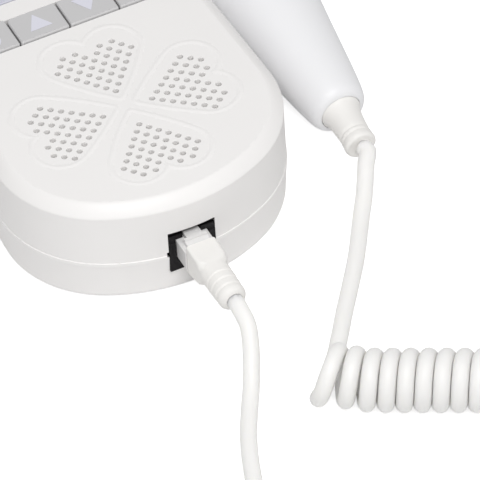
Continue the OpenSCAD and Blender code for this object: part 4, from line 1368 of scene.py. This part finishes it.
class MONITOR_OT_cord(bpy.types.Operator):
    """Lays the cord from the probe through its curls to the plug"""

    bl_idname = "monitor.cord"
    bl_label = "Curly Cord"

    def execute(self, context):
        c, p = settings("cord", "probe")
        leave = sleeve_place(p) @ Vector((0, 0, -p.relief))
        straight = probe_place(p) @ Vector((0, 0, -p.relief - 2.5 * MM))
        per_curl = 48
        # The lead runs into the first curl a little way up its front
        curls = [curl_point(c, n / per_curl) for n in range(5, c.curls * per_curl + 1)]
        away = curl_heading(c, c.curls)
        far_end = curls[-1] + c.end_run * away
        step = 1.2 * MM
        path = smooth_line([leave, straight, *route_back(PROBE_ROUTE), curls[0]], step)
        path += curls[1:]
        path += smooth_line([far_end, far_end + 6 * MM * away, *route_back(PLUG_ROUTE)], step)
        cord = soften(tube("curly_lead", path, c.diameter / 2, 20), 60)
        seat(cord, "base", "cord", "Cord white", "probe_lead", "curly_cord", "plug_lead")
        return {"FINISHED"}


# ---- Probe ----

# Height along the probe from its tail and radius there, in millimetres
TAIL_PROFILE = [
    (0.4, 7.3), (1, 7.9), (1.9, 8.4), (3.2, 8.8), (5.2, 9.2), (11, 10.1), (21, 11.4),
    (31, 12.7), (41, 14.1), (51, 15.5), (60, 16.5), (68, 17.2),
]


def eased(profile, step):
    """A profile drawn through with a smooth line."""
    line = smooth_line([Vector((height, radius, 0)) for height, radius in profile], step)
    return [(q.x, q.y) for q in line]


class MONITOR_OT_probe(bpy.types.Operator):
    """Builds the tapered probe and its strain relief"""

    bl_idname = "monitor.probe"
    bl_label = "Probe"

    def execute(self, context):
        (p,) = settings("probe")
        place = probe_place(p)
        groove = 0.25 * MM
        body_r = p.head_r - 0.3 * MM
        rim = p.collar_r + 0.05 * MM
        tail = [
            (p.collar_depth, 0),
            (p.collar_depth, rim),
            (0.1 * MM, rim),
            (0, rim + 0.1 * MM),
            (0.08 * MM, rim + 0.65 * MM),
        ]
        flank = [(height * MM, radius * MM) for height, radius in TAIL_PROFILE]
        flank = eased([*flank, (p.split - groove, body_r)], 1.5 * MM)
        profile = [*tail, *flank, (p.split, body_r - groove), (p.split, 0)]
        handle = lathe("probe_grip", profile, place)
        seat(soften(handle, 50), "base", "shell", "Probe white", "probe_handle")

        face = p.length - p.face_t
        shoulder, round_off, rim_t = 4.5 * MM, 2.6 * MM, 0.9 * MM
        curve = [
            (p.split, 0),
            (p.split, body_r - groove),
            (p.split + groove, body_r),
            (p.split + 3 * MM, p.head_r - 0.05 * MM),
            (p.split + 8 * MM, p.head_r),
            (face - shoulder, p.head_r),
        ]
        for i in range(1, 9):
            a = math.pi / 2 * i / 9
            drop = round_off * (1 - math.cos(a))
            curve.append((face - shoulder * (1 - math.sin(a)), p.head_r - drop))
        curve += [(face, p.head_r - round_off), (face, 0)]
        head = lathe("probe_nose", curve, place)
        seat(soften(head, 45), "base", "shell", "Probe white", "probe_head")

        rim_r = p.head_r - 2.75 * MM
        dome = [(face, 0), (face, rim_r), (face + rim_t, rim_r)]
        for i in range(1, 12):
            part = 1 - i / 12
            dome.append((p.length - (p.face_t - rim_t) * part**2.2, rim_r * part))
        dome.append((p.length, 0))
        window = lathe("probe_lens", dome, place)
        seat(soften(window, 50), "base", "probe_window", "Acoustic window", "probe_window")

        relief = self.relief(p, sleeve_place(p))
        seat(relief, "base", "cord", "Boot white", "probe_strain_relief")
        return {"FINISHED"}

    def relief(self, p, place):
        """A collar in the tail and a sleeve that narrows, with a groove and a lip at its end."""
        sleeve = eased(
            [
                (-0.3 * MM, p.collar_r - 0.15 * MM),
                (-1 * MM, p.collar_r - 0.5 * MM),
                (-3.5 * MM, 4.95 * MM),
                (-6.5 * MM, 4.65 * MM),
                (-8.9 * MM, 4.52 * MM),
            ],
            0.6 * MM,
        )
        profile = [
            (p.collar_depth, 0),
            (p.collar_depth, p.collar_r - 0.4 * MM),
            (0.6 * MM, p.collar_r - 0.05 * MM),
            (0.05 * MM, p.collar_r - 0.02 * MM),
            *sleeve,
            (-9.3 * MM, 4.25 * MM),
            (-9.6 * MM, 4.25 * MM),
            (-9.9 * MM, 4.5 * MM),
            (-10.6 * MM, 4.55 * MM),
            (-10.9 * MM, 4.3 * MM),
            (-11.2 * MM, 4.3 * MM),
            (-11.5 * MM, 4.6 * MM),
            (-12.8 * MM, 4.75 * MM),
            (-13.5 * MM, 4.6 * MM),
            (-13.9 * MM, 4.2 * MM),
            (-p.relief, 3.9 * MM),
            (-p.relief, 0),
        ]
        return soften(lathe("probe_sleeve", profile, place, 64), 50)


# ---- Inner pieces ----


class MONITOR_OT_inner_pieces(bpy.types.Operator):
    """Gives the boards, the speaker, the cells and the other inner pieces their finish"""

    bl_idname = "monitor.inner_pieces"
    bl_label = "Inner Pieces"

    def execute(self, context):
        copied = {
            "keypad_membrane": ("dome_sheet", "silicone", "Silicone"),
            "speaker": ("loudspeaker", "speaker", "Speaker black"),
            "speaker_gasket": ("foam_ring", "foam", "Foam"),
            "battery_cells": ("cell_pair", "cells", "Cell sleeve"),
            "probe_crystal": ("transducer", "crystal", "Silvered ceramic"),
        }
        for node, (name, slot, finish) in copied.items():
            seat(copy_of_node(name, node), "base", slot, finish, node)
        kept = {
            "Solder resist": ("main_board", "socket_board", "probe_board"),
            "Plated steel": ("board_screws", "battery_contacts"),
        }
        for finish, nodes in kept.items():
            for node in nodes:
                paint(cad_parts[node].data, material(finish))
        return {"FINISHED"}


# ---- Stage ----


def light_path_white(tree, ambient):
    """White for what is seen, reflected or seen through, and plain light for the rest."""
    path = node_at(tree, "ShaderNodeLightPath")
    seen = maths(tree, "MAXIMUM", path.outputs["Is Camera Ray"], path.outputs["Is Glossy Ray"])
    seen = maths(tree, "MAXIMUM", seen, path.outputs["Is Transmission Ray"])
    dim = maths(tree, "SUBTRACT", 1, ambient)
    return maths(tree, "ADD", maths(tree, "MULTIPLY", seen, dim), ambient)


def soft_lamp(name, energy, size, place, aim):
    """A large soft lamp that points at a place."""
    data = bpy.data.lights.new(name, "AREA")
    data.shape = "DISK"
    data.size = size
    data.energy = energy
    lamp = bpy.data.objects.new(name, data)
    lamp.location = place
    lamp.rotation_euler = (Vector(aim) - Vector(place)).to_track_quat("-Z", "Y").to_euler()
    bpy.context.scene.collection.objects.link(lamp)
    return lamp


class MONITOR_OT_stage(bpy.types.Operator):
    """Sets the camera, the lamps and the pale floor"""

    bl_idname = "monitor.stage"
    bl_label = "Stage"

    def execute(self, context):
        s, t = settings("case", "stage")
        right = Vector((0.90036, -0.4318, -0.05393)).normalized()
        back = Vector((-0.27558, -0.66173, 0.69726)).normalized()
        upward = back.cross(right).normalized()
        right = upward.cross(back)
        # The clover's centre stands left of the picture's middle and above it
        aim = Vector((0, 0, s.height)) + 31.62 * MM * right - 37.31 * MM * upward
        data = bpy.data.cameras.new("camera")
        data.sensor_width = 36
        data.lens = data.sensor_width * t.distance / t.frame_w
        data.clip_end = 50
        camera = bpy.data.objects.new("camera", data)
        axes = Matrix((right, upward, back)).transposed().to_4x4()
        camera.matrix_world = Matrix.Translation(aim + t.distance * back) @ axes
        context.scene.collection.objects.link(camera)
        context.scene.camera = camera

        size = 3
        floor = box("floor", (-size, -size, -20 * MM), (size, size, -0.03 * MM))
        floor.data.materials.append(self.floor_material(t))

        world = bpy.data.worlds.new("studio")
        context.scene.world = world
        world.use_nodes = True
        tree = world.node_tree
        ground = tree.nodes["Background"]
        ground.inputs["Color"].default_value = (1, 1, 1, 1)
        tree.links.new(light_path_white(tree, t.ambient), ground.inputs["Strength"])
        soft_lamp("overhead", t.lamp_power, 0.8, (-0.15, -0.62, 1.21), (0.02, 0, 0))
        context.scene.view_settings.view_transform = "Standard"
        return {"FINISHED"}

    def floor_material(self, t):
        """A pale floor that keeps shadows, lifted towards white where the camera sees it."""
        mat = bpy.data.materials.new("Pale floor")
        mat.use_nodes = True
        tree = mat.node_tree
        path = node_at(tree, "ShaderNodeLightPath")
        look = {
            "Base Color": (0.9, 0.9, 0.9, 1),
            "Roughness": 1,
            "Specular IOR Level": 0,
            "Emission Color": (1, 1, 1, 1),
            "Emission Strength": maths(
                tree, "MULTIPLY", path.outputs["Is Camera Ray"], t.floor_glow
            ),
        }
        for socket, value in look.items():
            feed(tree, tree.nodes["Principled BSDF"].inputs[socket], value)
        return mat


# ---- Panel and registration ----

STEPS = (
    MONITOR_OT_stage,
    MONITOR_OT_plug,
    MONITOR_OT_cord,
    MONITOR_OT_upper_shell,
    MONITOR_OT_lower_shell,
    MONITOR_OT_screws,
    MONITOR_OT_keys,
    MONITOR_OT_display,
    MONITOR_OT_socket,
    MONITOR_OT_probe,
    MONITOR_OT_inner_pieces,
)

GROUPS = {
    "monitor_case": CaseSizes,
    "monitor_grille": GrilleSizes,
    "monitor_keys": KeySizes,
    "monitor_display": DisplaySizes,
    "monitor_socket": SocketSizes,
    "monitor_cord": CordSizes,
    "monitor_probe": ProbeSizes,
    "monitor_finishes": Finishes,
    "monitor_stage": StageSettings,
}


class MONITOR_PT_builder(bpy.types.Panel):
    """Lists the steps that build the monitor"""

    bl_idname = "MONITOR_PT_builder"
    bl_label = "Heart Monitor"
    bl_space_type = "VIEW_3D"
    bl_region_type = "UI"
    bl_category = "Monitor"

    def draw(self, context):
        for step in STEPS:
            self.layout.operator(step.bl_idname, text=step.bl_label)


def register():
    for group in GROUPS.values():
        bpy.utils.register_class(group)
    for name, group in GROUPS.items():
        setattr(bpy.types.Scene, name, PointerProperty(type=group))
    for step in STEPS:
        bpy.utils.register_class(step)
    bpy.utils.register_class(MONITOR_PT_builder)


def unregister():
    bpy.utils.unregister_class(MONITOR_PT_builder)
    for step in reversed(STEPS):
        bpy.utils.unregister_class(step)
    for name in GROUPS:
        delattr(bpy.types.Scene, name)
    for group in reversed(GROUPS.values()):
        bpy.utils.unregister_class(group)


def main():
    """Builds the whole scene."""
    register()
    for step in STEPS:
        space, name = step.bl_idname.split(".")
        getattr(getattr(bpy.ops, space), name)()


if __name__ == "__main__":
    main()
